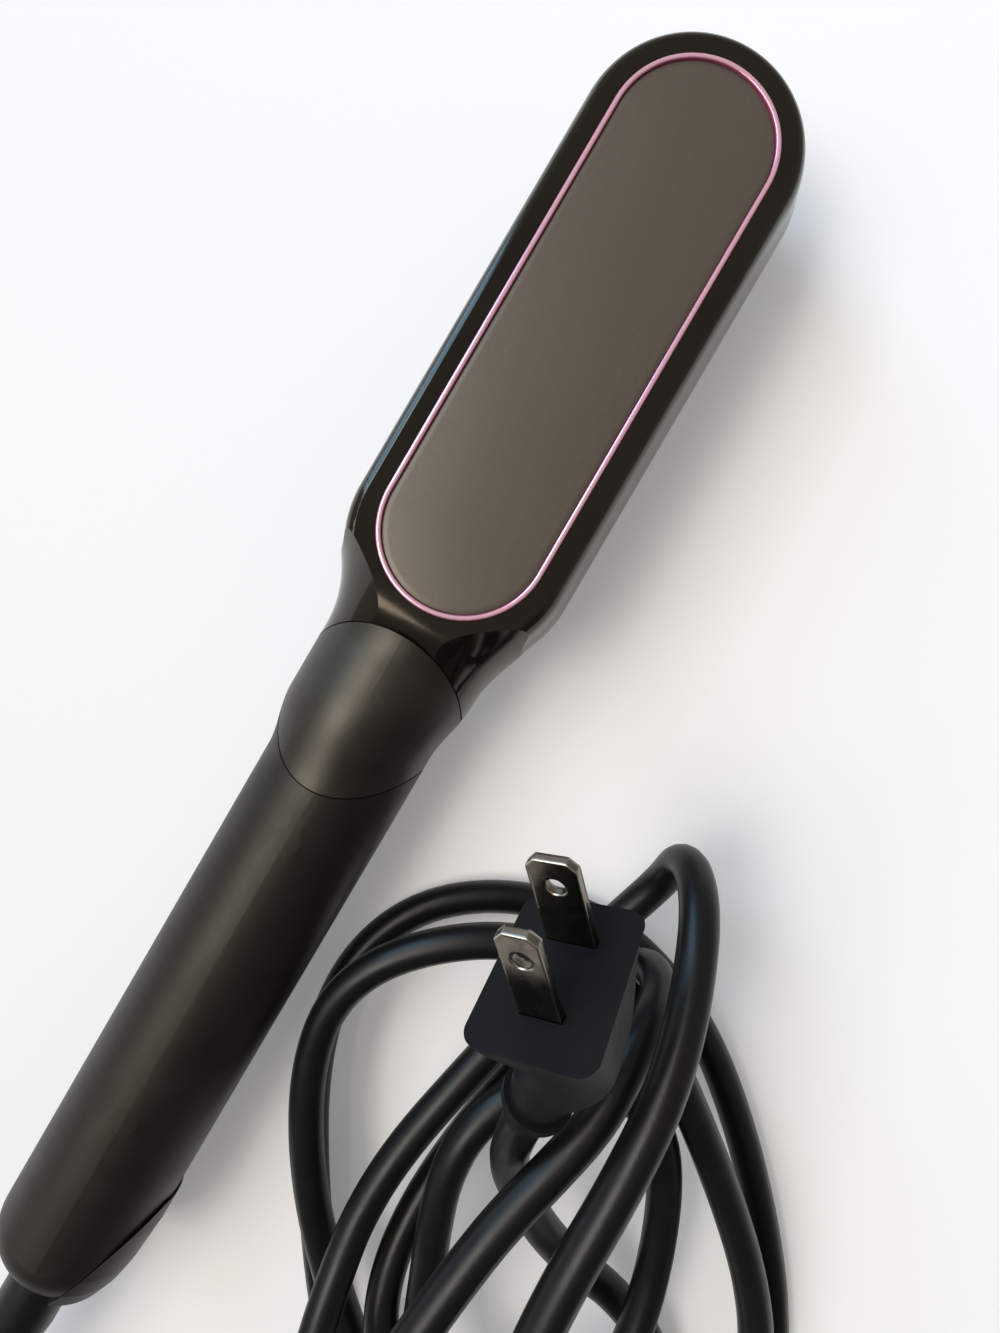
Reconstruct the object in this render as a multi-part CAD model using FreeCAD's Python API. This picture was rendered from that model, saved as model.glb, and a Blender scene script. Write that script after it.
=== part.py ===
import FreeCAD, Part
import math
import os
from FreeCAD import Matrix, Placement, Rotation, Vector

os.makedirs("parts", exist_ok=True)

# Hair straightening brush lying on its teeth, with its mains cord piled beside it.
# Millimetres. X runs along the brush to the tip of the head, Y to its left, Z up through its back.
# The origin is below the middle of the brush, on the surface that it lies on.

# Fits
fit_gap = 0.1            # between pieces that seat in one another
seam_gap = 0.25          # open seams that show
slide_gap = 0.2          # round each button
swivel_gap = 0.06        # running fit of the cord swivel

# Head
tip_x = 144.0
head_half_width = 24.5   # at the parting line
head_wall = 2.2
head_top_z = 37.0
parting_z = 23.0
frame_face_z = 14.0
head_low_centre_x = 30.6  # centre of the round lower end
neck_root_half_width = 18.8
neck_root_x = 1.0        # where the hollow cheeks run out into the neck
flare_run = 6.6          # the neck's flare stops this far short of the round lower end
belly_height = 7.0       # the back wall leans in from the parting line up to here
belly_inset = 0.9
rim_rounds = [(2.2, 2.0), (0.7, 2.9), (0.0, 4.2)]  # depth below the top and inset of the rounded rim
keel_height = 5.0        # the front wall leans in from the parting line down to here
keel_inset = 0.5
face_rounds = [(1.2, 1.3), (0.0, 2.6)]  # height above the front face and inset of its rounded edge
chin_start_x = 18.0      # the top slopes down from here to the neck cover
chin_radius = 26.0
cavity_low_run = 8.0     # the hollow of the head starts this far short of the round lower end's centre

# Plate and ring in the back of the head
ring_low_x = 15.4
ring_tip_x = 136.4
ring_half_width = 17.2
ring_width = 1.1
ring_proud = 0.25
plate_depth = 1.6
plate_sunk = 0.1         # below the rim

# Heated comb and guard
fin_count = 17
fin_pitch = 5.0
fin_thickness = 2.0
fin_tip_z = 4.0
fin_root_z = 15.5
fin_half_length = 14.4
fin_middle_gap = 4.0
fin_corner = 2.2         # chamfer of each tab
comb_half_width = 16.8
comb_flange_half_width = 18.6
comb_flange_thickness = 2.0
guard_half_width = 20.8
guard_thickness = 2.0
guard_tooth_thickness = 2.0
guard_tooth_root = 1.4   # half width at the root
guard_tooth_tip = 0.9    # half width and height of the chamfered tip
guard_end_teeth = 7
guard_low_inset = 2.0    # end centres of the guard, in from those of the head
guard_tip_inset = 0.4
guard_floor = 1.4        # front face to the seat of the guard
frame_lip = 1.2

# Heater pack
heater_length = 40.0
heater_width = 15.0
heater_thickness = 1.6
heater_gap = 6.0         # between the two heaters
mica_thickness = 0.4
clamp_thickness = 1.0
clamp_foot = 5.0
clamp_margin = 1.0       # the clamp is narrower than the heaters on each side
clamp_screw_radius = 1.1
clamp_screw_head = 2.0
clamp_screw_head_height = 1.2
clamp_screw_floor = 1.0  # left under the screw holes of the comb
sensor_window_half = 5.0
thermistor_length = 6.0
thermistor_radius = 1.4
fuse_radius = 1.7
fuse_length = 11.0

# Handle
tail_x = -144.0
handle_axis_z = 18.0
handle_radius = 15.8     # where the neck ends
handle_tail_radius = 15.25
handle_wall = 2.6
handle_top_x = -28.5
neck_radius = 18.0
shoulder_x = -17.2       # the handle swells out to the neck from here
shoulder_run = 12.5
shoulder_lean = 0.40     # the swell starts lower on the left, by this much for each millimetre across
shoulder_dip = 0.50      # and lower on top, by this much for each millimetre up
bore_swell_x = -9.0      # inside, the neck widens from here
neck_high_x = 3.0        # and flares out from here
flare_radius = 24.4
throat_radius = 40.0     # hollow under the chin
tail_round = 8.0
neck_seam_x = -5.0

# Neck cover
cover_upper_reach = 14.2
cover_tip_gap = 2.5      # from the lower tip of the cover to the top of the handle
cover_lean = 0.12        # its lower edge leans like the shoulder
cover_half_width = 18.4
cover_thickness = 1.6
cover_edge_z = 17.2
sleeve_thickness = 2.0
sleeve_tail_x = -19.0
sleeve_head_x = 6.0

# Tail cover on the right flank
flank_start_x = -120.0
flank_slope = 2.30       # length along the handle for each millimetre across it
flank_proud = 0.65
flank_shoulder = 6.0     # length that keeps its full girth
flank_wall = 2.0
flank_waist = 0.2        # drawn in at the rounded end of the handle
flank_hip = 1.0          # drawn in half way round that end
flank_heel = 2.4         # drawn in at the end itself
flank_end = 0.4          # short of the tail
flank_edge = 2.0         # how far the cut reaches past the handle

# Control panel and buttons
panel_low_x = -104.0
panel_high_x = -34.0
panel_half_width = 5.3
panel_sunk = 1.2         # below the underside of the handle
panel_thickness = 1.4
panel_bed = 1.8
panel_bed_margin = 2.4
button_radius = 4.0
button_proud = 0.6
button_flange = 1.0
button_flange_thickness = 1.0
button_travel = 0.6
button_stem_radius = 1.5
power_x = -46.0
plus_x = -60.0
minus_x = -74.0
lens_x = -89.0
lens_length = 14.0
lens_width = 4.0
lens_lip = 0.8
button_edge = 0.5
led_count = 4
led_pitch = 3.2
led_size = 1.6
chip_x = -70.0
chip_size = 7.0
chip_height = 1.2
triac_x = -83.0
triac_length = 9.6
triac_half_width = 5.0
triac_height = 4.5
triac_tab_length = 6.2
triac_tab_thickness = 1.3
triac_hole_radius = 1.8
capacitor_x = -57.0
capacitor_length = 13.0
capacitor_width = 6.0
capacitor_room = 4.6     # from the capacitor to the rear shell

# Circuit board
board_low_x = -98.0
board_high_x = -40.0
board_side_room = 1.5    # from the board to the inside of the handle
board_standoff = 7.4     # from the panel's bed to the board
board_thickness = 1.6
switch_size = 6.0
switch_height = 3.8
plunger_radius = 1.7
plunger_height = 0.5
screw_radius = 1.2
screw_head_radius = 2.2
screw_head_height = 1.5
boss_wall = 1.6
board_screw_edge = 2.5   # in from the sides of the board
board_screw_inset = 6.0  # from each end of the board
handle_screw_inset = 3.0  # from each end of the panel
handle_screw_sunk = 1.7   # between the panel and the head
handle_screw_bite = 8.0   # into the rear shell

# Cord entry
bush_radius = 9.0
bush_length = 17.0
bush_nose_radius = 7.4
tail_wall = 4.0
swivel_radius = 5.4
swivel_flange_radius = 8.0
swivel_flange_thickness = 2.0
stub_radius = 3.6
stub_length = 12.0
slip_ring_radius = 4.6
slip_ring_width = 3.0
relief_root_radius = 6.7
relief_tip_radius = 4.7
relief_length = 35.0
relief_groove = 0.8
relief_groove_count = 4
relief_land = 0.5        # share of each rib left at full girth
relief_collar = 14.0     # plain length at the root
relief_cuff = 4.0        # and at the tip
cradle_width = 2.0
shelf_length = 14.5
shelf_half_width = 4.0
shelf_thickness = 2.5
shelf_root = 2.0         # how far the shelf runs into the bush
shelf_rise = 1.0         # top of the shelf above the underside of the bush
leaf_thickness = 0.4
leaf_half_length = 3.4
leaf_width = 2.0

# Inner wires
wire_radius = 0.8
wire_gap = 0.1           # to what a wire lies against
heater_wire_tip = 3.0    # overlap with the heater and with the board
board_wire_overlap = 2.0
mains_wire_overlap = 3.0

# Screws of the head and neck
head_screw_x = 10.0
head_screw_y = 12.4
head_screw_sunk = 0.3    # head above the hollow of the throat
head_screw_grip = 19.0
neck_screw_offset = 4.2
neck_screw_z = 1.2
neck_screw_top_z = 10.0

# Mains cord
cord_diameter = 7.6
arc_share = 0.45         # of the shorter run, taken by each bend
coil_roundness = 0.9     # how far a narrow loop is swollen towards round ends
coil_hold = 0.2          # share of a turn at its start and end that keeps one loop's size
coil_start = -0.5        # in turns
coil_end = 4.25
coil_step = 0.25
# Each loop: centre x, centre y, reach, spread, heading in degrees, middle height, rise at the far end, lean
coil_loops = [
    (-95, -93, 81, 55, 38, 4.3, 0, 0),
    (-92, -86, 68, 48, 44, 17, 5, -4),
    (-69, -67, 68, 11, -8, 38, -9, -19),
    (-72, -68, 52, 2, -14, 30, -6, -19),
    (-94, -95, 46, 22, 22, 19, 4, 1),
]
lead_points = [
    (-197, 0, 18), (-214, -8, 13), (-226, -24, 8), (-230, -46, 4.5), (-224, -69, 4.3), (-211, -90, 4.5),
    (-194, -106, 4.3),
]
lead_last_run = 20.0     # straight into the coil
tail_first_run = 12.0    # straight out of the coil
tail_points = [
    (-138, -97, 15.5), (-146, -114, 11), (-140, -132, 8.5), (-122, -139, 7), (-105, -131, 7), (-97, -114, 9),
    (-92, -99, 15), (-85, -87, 22), (-76, -76, 30), (-67, -67.5, 38),
]
tail_last_run = 8.0      # straight into the plug
cord_sides = 8           # flats round the cord and the wires
wire_sides = 6

# Plug
plug_face = Vector(-20.5, -48.5, 73.0)
plug_blade_axis = Vector(0.61, 0.62, 0.49)
plug_row_axis = Vector(0.64, -0.10, -0.76)
plug_cord_axis = Vector(-0.80, -0.18, -0.57)
plug_bend = 14.0         # behind the face, where the body leans over towards its cord
plug_rear = 12.0         # from there to the neck
plug_front_half = (13.6, 10.0, 3.0)   # half width, half depth and corner of the face
plug_belly_half = (10.6, 8.4, 3.4)
plug_waist_half = (8.6, 7.6, 4.8)
plug_rear_half = (6.4, 6.4, 5.6)
plug_belly_back = 8.0
plug_neck_root_radius = 6.0
plug_neck_ring_radius = 6.2
plug_neck_ring_width = 1.6
plug_neck_tip_radius = 4.4
plug_neck_taper = 0.8
plug_neck_length = 15.0
plug_neck_ring_back = 8.0
blade_spacing = 12.7
blade_thickness = 1.5
blade_widths = (6.35, 7.9)
blade_length = 17.0
blade_seat = 6.0
blade_chamfer = 1.4
blade_hole_radius = 1.6
blade_hole_back = 5.0    # from the tip


def move(shape, x=0.0, y=0.0, z=0.0):
    placed = shape.copy()
    placed.translate(Vector(x, y, z))
    return placed


def block(x0, x1, y0, y1, z0, z1):
    return Part.makeBox(x1 - x0, y1 - y0, z1 - z0, Vector(x0, y0, z0))


def post(x, y, z0, z1, radius):
    return Part.makeCylinder(radius, z1 - z0, Vector(x, y, z0))


def rod(x0, x1, radius, y=0.0, z=handle_axis_z):
    return Part.makeCylinder(radius, x1 - x0, Vector(x0, y, z), Vector(1, 0, 0))


def unit(vector):
    return vector * (1.0 / vector.Length)


def turned(profile):
    # A solid turned round the handle's axis from (x, radius) corners.
    points = [Vector(x, 0, handle_axis_z + radius) for x, radius in profile]
    face = Part.Face(Part.makePolygon(points + points[:1]))
    return face.revolve(Vector(0, 0, handle_axis_z), Vector(1, 0, 0), 360)


def stadium(low_centre_x, high_centre_x, half_width, z0, z1):
    low_end = post(low_centre_x, 0, z0, z1, half_width)
    high_end = post(high_centre_x, 0, z0, z1, half_width)
    middle = block(low_centre_x, high_centre_x, -half_width, half_width, z0, z1)
    return middle.fuse([low_end, high_end]).removeSplitter()


def group(solids):
    return Part.makeCompound(solids)


def save(name, shape):
    shape.exportStep("parts/" + name + ".step")


# Forms that several pieces share

head_tip_centre_x = tip_x - head_half_width
panel_face_z = handle_axis_z - handle_radius + panel_sunk
ring_low_centre_x = ring_low_x + ring_half_width
ring_tip_centre_x = ring_tip_x - ring_half_width
cover_lower_reach = neck_seam_x - handle_top_x - cover_tip_gap
bed_top_z = panel_face_z + panel_thickness + panel_bed
board_z = bed_top_z + board_standoff
inner_radius = min(handle_radius, handle_tail_radius) - handle_wall
board_half_width = math.sqrt(inner_radius ** 2 - (handle_axis_z - board_z) ** 2) - board_side_room
board_top_z = board_z + board_thickness
far = 400.0


def head_outline(inset, z):
    # Plan of the head at one height: round tip, straight flanks, hollow cheeks into the neck.
    half = head_half_width - inset
    root = neck_root_half_width - inset
    reach = head_low_centre_x - neck_root_x
    cheek = (reach ** 2 / (half - root) - half - root) / 2.0
    cheek_centre = Vector(neck_root_x, root + cheek, z)
    low_centre = Vector(head_low_centre_x, 0, z)
    join = low_centre + (cheek_centre - low_centre) * (half / (half + cheek))
    turn = math.atan2(join.x - neck_root_x, cheek_centre.y - join.y) / 2.0
    cheek_middle = cheek_centre + Vector(math.sin(turn), -math.cos(turn), 0) * cheek
    bow = math.atan2(join.y, join.x - head_low_centre_x) / 2.0 + math.pi / 4.0
    bow_middle = low_centre + Vector(math.cos(bow), math.sin(bow), 0) * half
    end = Vector(neck_seam_x - head_wall, root, z)
    start = Vector(neck_root_x, root, z)
    flank_low = Vector(head_low_centre_x, half, z)
    flank_high = Vector(head_tip_centre_x, half, z)
    tip = Vector(head_tip_centre_x + half, 0, z)

    def other(point):
        return Vector(point.x, -point.y, point.z)

    edges = [
        Part.LineSegment(end, start),
        Part.Arc(start, cheek_middle, join),
        Part.Arc(join, bow_middle, flank_low),
        Part.LineSegment(flank_low, flank_high),
        Part.Arc(flank_high, tip, other(flank_high)),
        Part.LineSegment(other(flank_high), other(flank_low)),
        Part.Arc(other(flank_low), other(bow_middle), other(join)),
        Part.Arc(other(join), other(cheek_middle), other(start)),
        Part.LineSegment(other(start), other(end)),
        Part.LineSegment(other(end), end),
    ]
    return Part.Wire([edge.toShape() for edge in edges])


def head_loft(levels, straight=False):
    return Part.makeLoft([head_outline(inset, z) for z, inset in levels], True, straight)


flare_x = head_low_centre_x - flare_run
neck_end_x = head_low_centre_x + head_wall


def neck_profile(inset, flared):
    # Half section of the neck: outside it is straight and then flares, inside it widens.
    radius = neck_radius - inset

    def at(x, r):
        return Vector(x, 0, handle_axis_z + r)

    def flare(x):
        return radius + flare_radius - math.sqrt(flare_radius ** 2 - (x - neck_high_x) ** 2)

    start = at(neck_high_x, radius)
    if flared:
        middle_x = (neck_high_x + flare_x) / 2
        end = at(flare_x, flare(flare_x))
        corners = [at(handle_top_x, 0), at(handle_top_x, radius), start]
        bend = Part.Arc(start, at(middle_x, flare(middle_x)), end)
    else:
        girth = handle_radius - inset
        end = at(neck_end_x, radius)
        corners = [at(handle_top_x, 0), at(handle_top_x, girth), at(bore_swell_x, girth), start]
        bend = Part.LineSegment(start, end)
    edges = [Part.LineSegment(p, q).toShape() for p, q in zip(corners, corners[1:])]
    edges.append(bend.toShape())
    edges.append(Part.LineSegment(end, at(end.x, 0)).toShape())
    edges.append(Part.LineSegment(at(end.x, 0), corners[0]).toShape())
    return Part.Wire(edges)


def neck_bored(inset):
    face = Part.Face(neck_profile(inset, False))
    return face.revolve(Vector(0, 0, handle_axis_z), Vector(1, 0, 0), 360)


def shoulder_section(share, inset):
    # The slanting oval in which a leaning plane cuts the swelling neck.
    radius = handle_radius + (neck_radius - handle_radius) * share ** 2 * (3 - 2 * share) - inset
    dip = shoulder_dip * (1 - share)
    steep = math.hypot(shoulder_lean, dip)
    middle = Vector(shoulder_x + shoulder_run * share, 0, handle_axis_z)
    across = Vector(-steep, shoulder_lean / steep, dip / steep) * radius
    level = Vector(0, -dip / steep, shoulder_lean / steep) * radius
    start = -math.atan2(dip, shoulder_lean)
    oval = Part.Ellipse(middle + across, middle + level, middle)
    return Part.Wire(oval.toShape(start, start + 2 * math.pi))


def beside_shoulder(share, side):
    # All that lies ahead of the leaning plane, or behind it.
    ahead = unit(Vector(1, shoulder_lean, shoulder_dip * (1 - share)))
    across = unit(Vector(-shoulder_lean, 1, 0)) * far
    along = ahead.cross(across)
    middle = Vector(shoulder_x + shoulder_run * share, 0, handle_axis_z)
    corners = [middle + across + along, middle - across + along, middle - across - along, middle + across - along]
    return Part.Face(Part.makePolygon(corners + corners[:1])).extrude(ahead * (side * far))


def neck_turned(inset):
    # Outside of the neck: the handle's girth, a leaning smooth swell, then the neck and its flare.
    face = Part.Face(neck_profile(inset, True))
    neck = face.revolve(Vector(0, 0, handle_axis_z), Vector(1, 0, 0), 360).common(beside_shoulder(1.0, 1))
    shares = [0.0, 0.25, 0.5, 0.75, 1.0]
    shoulder = Part.makeLoft([shoulder_section(share, inset) for share in shares], True, False)
    core = rod(handle_top_x, neck_high_x, handle_radius - inset).common(beside_shoulder(0.0, -1))
    return neck.fuse([shoulder, core]).removeSplitter()


neck_form = neck_turned(0.0)
neck_bore = neck_bored(handle_wall)
above_parting = block(-far, far, -far, far, parting_z, far)
below_parting = block(-far, far, -far, far, -far, parting_z)
above_axis = block(-far, far, -far, far, handle_axis_z, far)
below_axis = block(-far, far, -far, far, -far, handle_axis_z)
head_side = block(neck_seam_x + seam_gap / 2, far, -far, far, -far, far)
handle_side = block(-far, neck_seam_x - seam_gap / 2, -far, far, -far, far)
past_flare = block(flare_x, far, -far, far, -far, far)


def trim_to_neck(form):
    return form.common(past_flare).fuse(form.common(neck_form)).removeSplitter()


def almond(grow, z0):
    # Plan of the neck cover: a short half oval towards the head, a long one towards the tail.
    half = cover_half_width + grow
    left = Vector(neck_seam_x, half, z0)
    right = Vector(neck_seam_x, -half, z0)
    pieces = []
    for reach in (cover_upper_reach + grow, -cover_lower_reach - grow):
        ring = Part.Wire(Part.makeCircle(1.0))
        shape = Matrix()
        shape.scale(Vector(abs(reach), half, 1))
        if reach < 0:
            shape.A12 = -cover_lean * half
        shape.move(Vector(neck_seam_x, 0, z0))
        whole = Part.Face(ring.transformGeometry(shape)).extrude(Vector(0, 0, far))
        side = 1 if reach > 0 else -1
        ends = sorted((neck_seam_x, neck_seam_x + side * far))
        keep = block(ends[0], ends[1], right.y - 1, left.y + 1, z0 - 1, z0 + far + 1)
        pieces.append(whole.common(keep))
    return pieces[0].fuse(pieces[1]).removeSplitter()


def handle_profile(inset):
    # Half section of the handle from neck to tail, with its rounded end.
    radius = handle_tail_radius - inset
    end_x = tail_x + inset
    corner = Vector(end_x + tail_round, 0, handle_axis_z + radius - tail_round)
    slant = tail_round * math.sqrt(0.5)
    top = Vector(handle_top_x, 0, handle_axis_z + handle_radius - inset)
    start = Vector(end_x + tail_round, 0, handle_axis_z + radius)
    middle = Vector(corner.x - slant, 0, corner.z + slant)
    stop = Vector(end_x, 0, corner.z)
    axis_low = Vector(end_x, 0, handle_axis_z)
    axis_high = Vector(handle_top_x, 0, handle_axis_z)
    return Part.Wire([
        Part.LineSegment(top, start).toShape(),
        Part.Arc(start, middle, stop).toShape(),
        Part.LineSegment(stop, axis_low).toShape(),
        Part.LineSegment(axis_low, axis_high).toShape(),
        Part.LineSegment(axis_high, top).toShape(),
    ])


def handle_form(inset):
    face = Part.Face(handle_profile(inset))
    return face.revolve(Vector(0, 0, handle_axis_z), Vector(1, 0, 0), 360)


def flank_form(inset):
    # The tail cover's own turned form: proud where it starts, drawn in towards the cord.
    start = handle_tail_radius + flank_proud - inset
    profile = [
        (flank_start_x, start),
        (flank_start_x - flank_shoulder, start),
        (tail_x + tail_round, handle_tail_radius - flank_waist - inset),
        (tail_x + tail_round / 2, handle_tail_radius - flank_hip - inset),
        (tail_x + flank_end + inset, handle_tail_radius - flank_heel - inset),
        (tail_x + flank_end + inset, 0.0),
        (flank_start_x, 0.0),
    ]
    return turned(profile)


def flank_wedge(grow):
    # The right flank behind a line that slants from its start towards the middle of the tail.
    start_y = -handle_tail_radius - flank_edge
    end_x = tail_x - flank_edge
    end_y = start_y + flank_edge + (flank_start_x - end_x) / flank_slope
    points = [
        Vector(flank_start_x + grow, start_y, 0),
        Vector(flank_start_x + grow, start_y + flank_edge + grow, 0),
        Vector(end_x, end_y + grow, 0),
        Vector(end_x, start_y, 0),
    ]
    return Part.Face(Part.makePolygon(points + points[:1])).extrude(Vector(0, 0, far))


# Head shells, plate and ring

upper_levels = [
    (parting_z, 0.0),
    (parting_z + belly_height, belly_inset),
] + [(head_top_z - depth, inset) for depth, inset in rim_rounds]
lower_levels = [
    (parting_z, 0.0),
    (parting_z - keel_height, keel_inset),
] + [(frame_face_z + height, inset) for height, inset in face_rounds]
plate_seat_z = head_top_z - plate_depth
roof_z = plate_seat_z - head_wall
cavity_levels = [(frame_face_z + head_wall, head_wall + keel_inset), (roof_z, head_wall + rim_rounds[0][1])]
cavity_low_x = head_low_centre_x - cavity_low_run
head_cavity = head_loft(cavity_levels).common(block(cavity_low_x, far, -far, far, 0, far))
cover_pocket = almond(seam_gap, cover_edge_z - seam_gap).cut(neck_turned(cover_thickness + fit_gap))

head_screw_places = [(head_screw_x, side * head_screw_y) for side in (-1, 1)]


def chin_slope():
    # What is taken off the top, so that it rolls down from the ring to the neck cover.
    axis = Vector(chin_start_x, -far, head_top_z - chin_radius)
    drum = Part.makeCylinder(chin_radius, 2 * far, axis, Vector(0, 1, 0))
    corner = block(neck_seam_x, chin_start_x, -far, far, axis.z, far)
    return corner.cut(drum).cut(almond(0.0, 0.0))


upper_form = trim_to_neck(head_loft(upper_levels)).cut(chin_slope())
back_shell = upper_form.common(head_side).cut(neck_bore).cut(head_cavity).cut(cover_pocket)
plate_pocket = stadium(ring_low_centre_x, ring_tip_centre_x, ring_half_width + fit_gap, plate_seat_z, far)
back_shell = back_shell.cut(plate_pocket)

ring_inner = ring_half_width - ring_width
ring_top_z = head_top_z + ring_proud
ring_band = stadium(ring_low_centre_x, ring_tip_centre_x, ring_half_width, plate_seat_z, ring_top_z)
ring_hole = stadium(ring_low_centre_x, ring_tip_centre_x, ring_inner, plate_seat_z - 1, ring_top_z + 1)
accent_ring = ring_band.cut(ring_hole)
save("accent_ring", accent_ring)

plate_half = ring_inner - fit_gap
plate_top_z = head_top_z - plate_sunk
back_plate = stadium(ring_low_centre_x, ring_tip_centre_x, plate_half, plate_seat_z, plate_top_z)
save("back_plate", back_plate)

throat_centre_z = frame_face_z - throat_radius


def throat_hollow(grow):
    # The hollow under the chin, as a cylinder across the head.
    side = Vector(head_low_centre_x, -far, throat_centre_z)
    return Part.makeCylinder(throat_radius + grow, 2 * far, side, Vector(0, 1, 0))


def throat_z(x):
    return throat_centre_z + math.sqrt(throat_radius ** 2 - (x - head_low_centre_x) ** 2)


below_flare = block(-far, neck_high_x, -far, far, -far, far)
throat = neck_form.common(below_flare).fuse(rod(neck_high_x, neck_end_x, neck_radius)).removeSplitter()
throat = throat.common(below_parting).common(head_side).cut(throat_hollow(0.0))
lower_head = head_loft(lower_levels, True)
lower_neck = lower_head.common(neck_form).common(head_side)
lower_form = lower_head.common(past_flare).fuse([lower_neck, throat]).removeSplitter()
guard_low_x = head_low_centre_x + guard_low_inset
guard_tip_x = head_tip_centre_x - guard_tip_inset
guard_seat_z = frame_face_z + guard_floor
guard_top_z = guard_seat_z + guard_thickness
lip_half = guard_half_width + fit_gap - frame_lip
front_hole = stadium(guard_low_x, guard_tip_x, lip_half, 0, far)
guard_pocket = stadium(guard_low_x, guard_tip_x, guard_half_width + fit_gap, guard_seat_z, far)
throat_room = neck_bore.cut(throat_hollow(head_wall))
front_frame = lower_form.cut(throat_room).cut(front_hole).cut(guard_pocket).cut(cover_pocket)


def screw(x, y, head_z, tip_z):
    # A pan-head screw driven upwards, its head at the bottom.
    head = post(x, y, head_z, head_z + screw_head_height, screw_head_radius)
    return head.fuse(post(x, y, head_z, tip_z, screw_radius))


def boss(x, y, z0, z1):
    return post(x, y, z0, z1, screw_radius + boss_wall)


def bore(x, y, z0, z1):
    return post(x, y, z0, z1, screw_radius + fit_gap)


def counterbore(x, y, z0, z1):
    return post(x, y, z0, z1, screw_head_radius + fit_gap)


head_screws = []
head_screw_z = throat_z(head_screw_x + screw_head_radius) + head_screw_sunk
for x, y in head_screw_places:
    top_z = head_screw_z + screw_head_height + head_screw_grip
    seat_z = head_screw_z + screw_head_height
    front_boss = boss(x, y, head_screw_z, parting_z).common(lower_form)
    front_frame = front_frame.fuse(front_boss).cut(bore(x, y, 0, parting_z + 1))
    front_frame = front_frame.cut(counterbore(x, y, 0, seat_z))
    back_boss = boss(x, y, parting_z, roof_z + head_wall / 2).common(upper_form)
    back_shell = back_shell.fuse(back_boss).cut(bore(x, y, 0, top_z + fit_gap))
    head_screws.append(screw(x, y, head_screw_z, top_z))

save("back_shell", back_shell)
save("head_screws", group(head_screws))

# Heated comb, guard and heater pack

comb_middle_x = (guard_low_x + guard_tip_x) / 2
fin_places = [comb_middle_x + (i - (fin_count - 1) / 2) * fin_pitch for i in range(fin_count)]
flange_top_z = guard_top_z + comb_flange_thickness


def fin_tab(x, side):
    # One chamfered tab of a fin, on the left (1) or right (-1) of the middle channel.
    inner = fin_middle_gap / 2
    outer = fin_half_length

    def at(y, z):
        return Vector(x - fin_thickness / 2, side * y, z)

    outline = [
        at(inner, fin_root_z),
        at(inner, fin_tip_z + fin_corner),
        at(inner + fin_corner, fin_tip_z),
        at(outer - fin_corner, fin_tip_z),
        at(outer, fin_tip_z + fin_corner),
        at(outer, fin_root_z),
    ]
    face = Part.Face(Part.makePolygon(outline + outline[:1]))
    return face.extrude(Vector(fin_thickness, 0, 0))


heater_spacing = heater_length + heater_gap
clamp_half_length = heater_spacing / 2 + heater_length / 2 + fit_gap + clamp_thickness + clamp_foot
clamp_screw_places = [comb_middle_x + side * (clamp_half_length - clamp_foot / 2) for side in (-1, 1)]
comb_body = stadium(guard_low_x, guard_tip_x, comb_half_width, fin_root_z, guard_top_z)
comb_flange = stadium(guard_low_x, guard_tip_x, comb_flange_half_width, guard_top_z, flange_top_z)
tabs = [fin_tab(x, side) for x in fin_places for side in (-1, 1)]
heater_comb = comb_body.fuse([comb_flange] + tabs).removeSplitter()
clamp_screws = []
for x in clamp_screw_places:
    hole = post(x, 0, fin_root_z + clamp_screw_floor, flange_top_z + 1, clamp_screw_radius + fit_gap)
    heater_comb = heater_comb.cut(hole)
    clamp_top = flange_top_z + clamp_thickness
    head = post(x, 0, clamp_top, clamp_top + clamp_screw_head_height, clamp_screw_head)
    shank = post(x, 0, fin_root_z + clamp_screw_floor + fit_gap, clamp_top, clamp_screw_radius)
    clamp_screws.append(head.fuse(shank))
save("heater_comb", heater_comb)
save("clamp_screws", group(clamp_screws))


def guard_tooth():
    # A tapered tooth hanging from the guard, its chamfered tip on the ground plane.
    half = guard_tooth_thickness / 2

    def at(y, z):
        return Vector(-half, y, z)

    outline = [
        at(-guard_tooth_root, guard_seat_z),
        at(-guard_tooth_tip, guard_tooth_tip),
        at(-guard_tooth_tip / 2, 0),
        at(guard_tooth_tip / 2, 0),
        at(guard_tooth_tip, guard_tooth_tip),
        at(guard_tooth_root, guard_seat_z),
    ]
    face = Part.Face(Part.makePolygon(outline + outline[:1]))
    return face.extrude(Vector(guard_tooth_thickness, 0, 0))


tooth_row = (comb_half_width + lip_half) / 2 - fit_gap
teeth = []
for i in range(fin_count + 1):
    x = fin_places[0] + (i - 0.5) * fin_pitch
    teeth.append(move(guard_tooth(), x, tooth_row))
    teeth.append(move(guard_tooth(), x, -tooth_row))
for centre_x, start in ((guard_tip_x, -90.0), (guard_low_x, 90.0)):
    for i in range(guard_end_teeth):
        turn = start + (i + 1) * 180.0 / (guard_end_teeth + 1)
        tooth = move(guard_tooth(), 0, tooth_row)
        tooth.rotate(Vector(0, 0, 0), Vector(0, 0, 1), turn - 90.0)
        teeth.append(move(tooth, centre_x))
guard_ring = stadium(guard_low_x, guard_tip_x, guard_half_width, guard_seat_z, guard_top_z)
guard_hole = stadium(guard_low_x, guard_tip_x, comb_half_width + fit_gap, 0, far)
tooth_guard = guard_ring.cut(guard_hole).fuse(teeth).removeSplitter()
save("tooth_guard", tooth_guard)

heaters = []
for side in (-1, 1):
    x = comb_middle_x + side * heater_spacing / 2
    heaters.append(block(x - heater_length / 2, x + heater_length / 2, -heater_width / 2, heater_width / 2,
                         flange_top_z, flange_top_z + heater_thickness))
save("ceramic_heaters", group(heaters))

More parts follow.
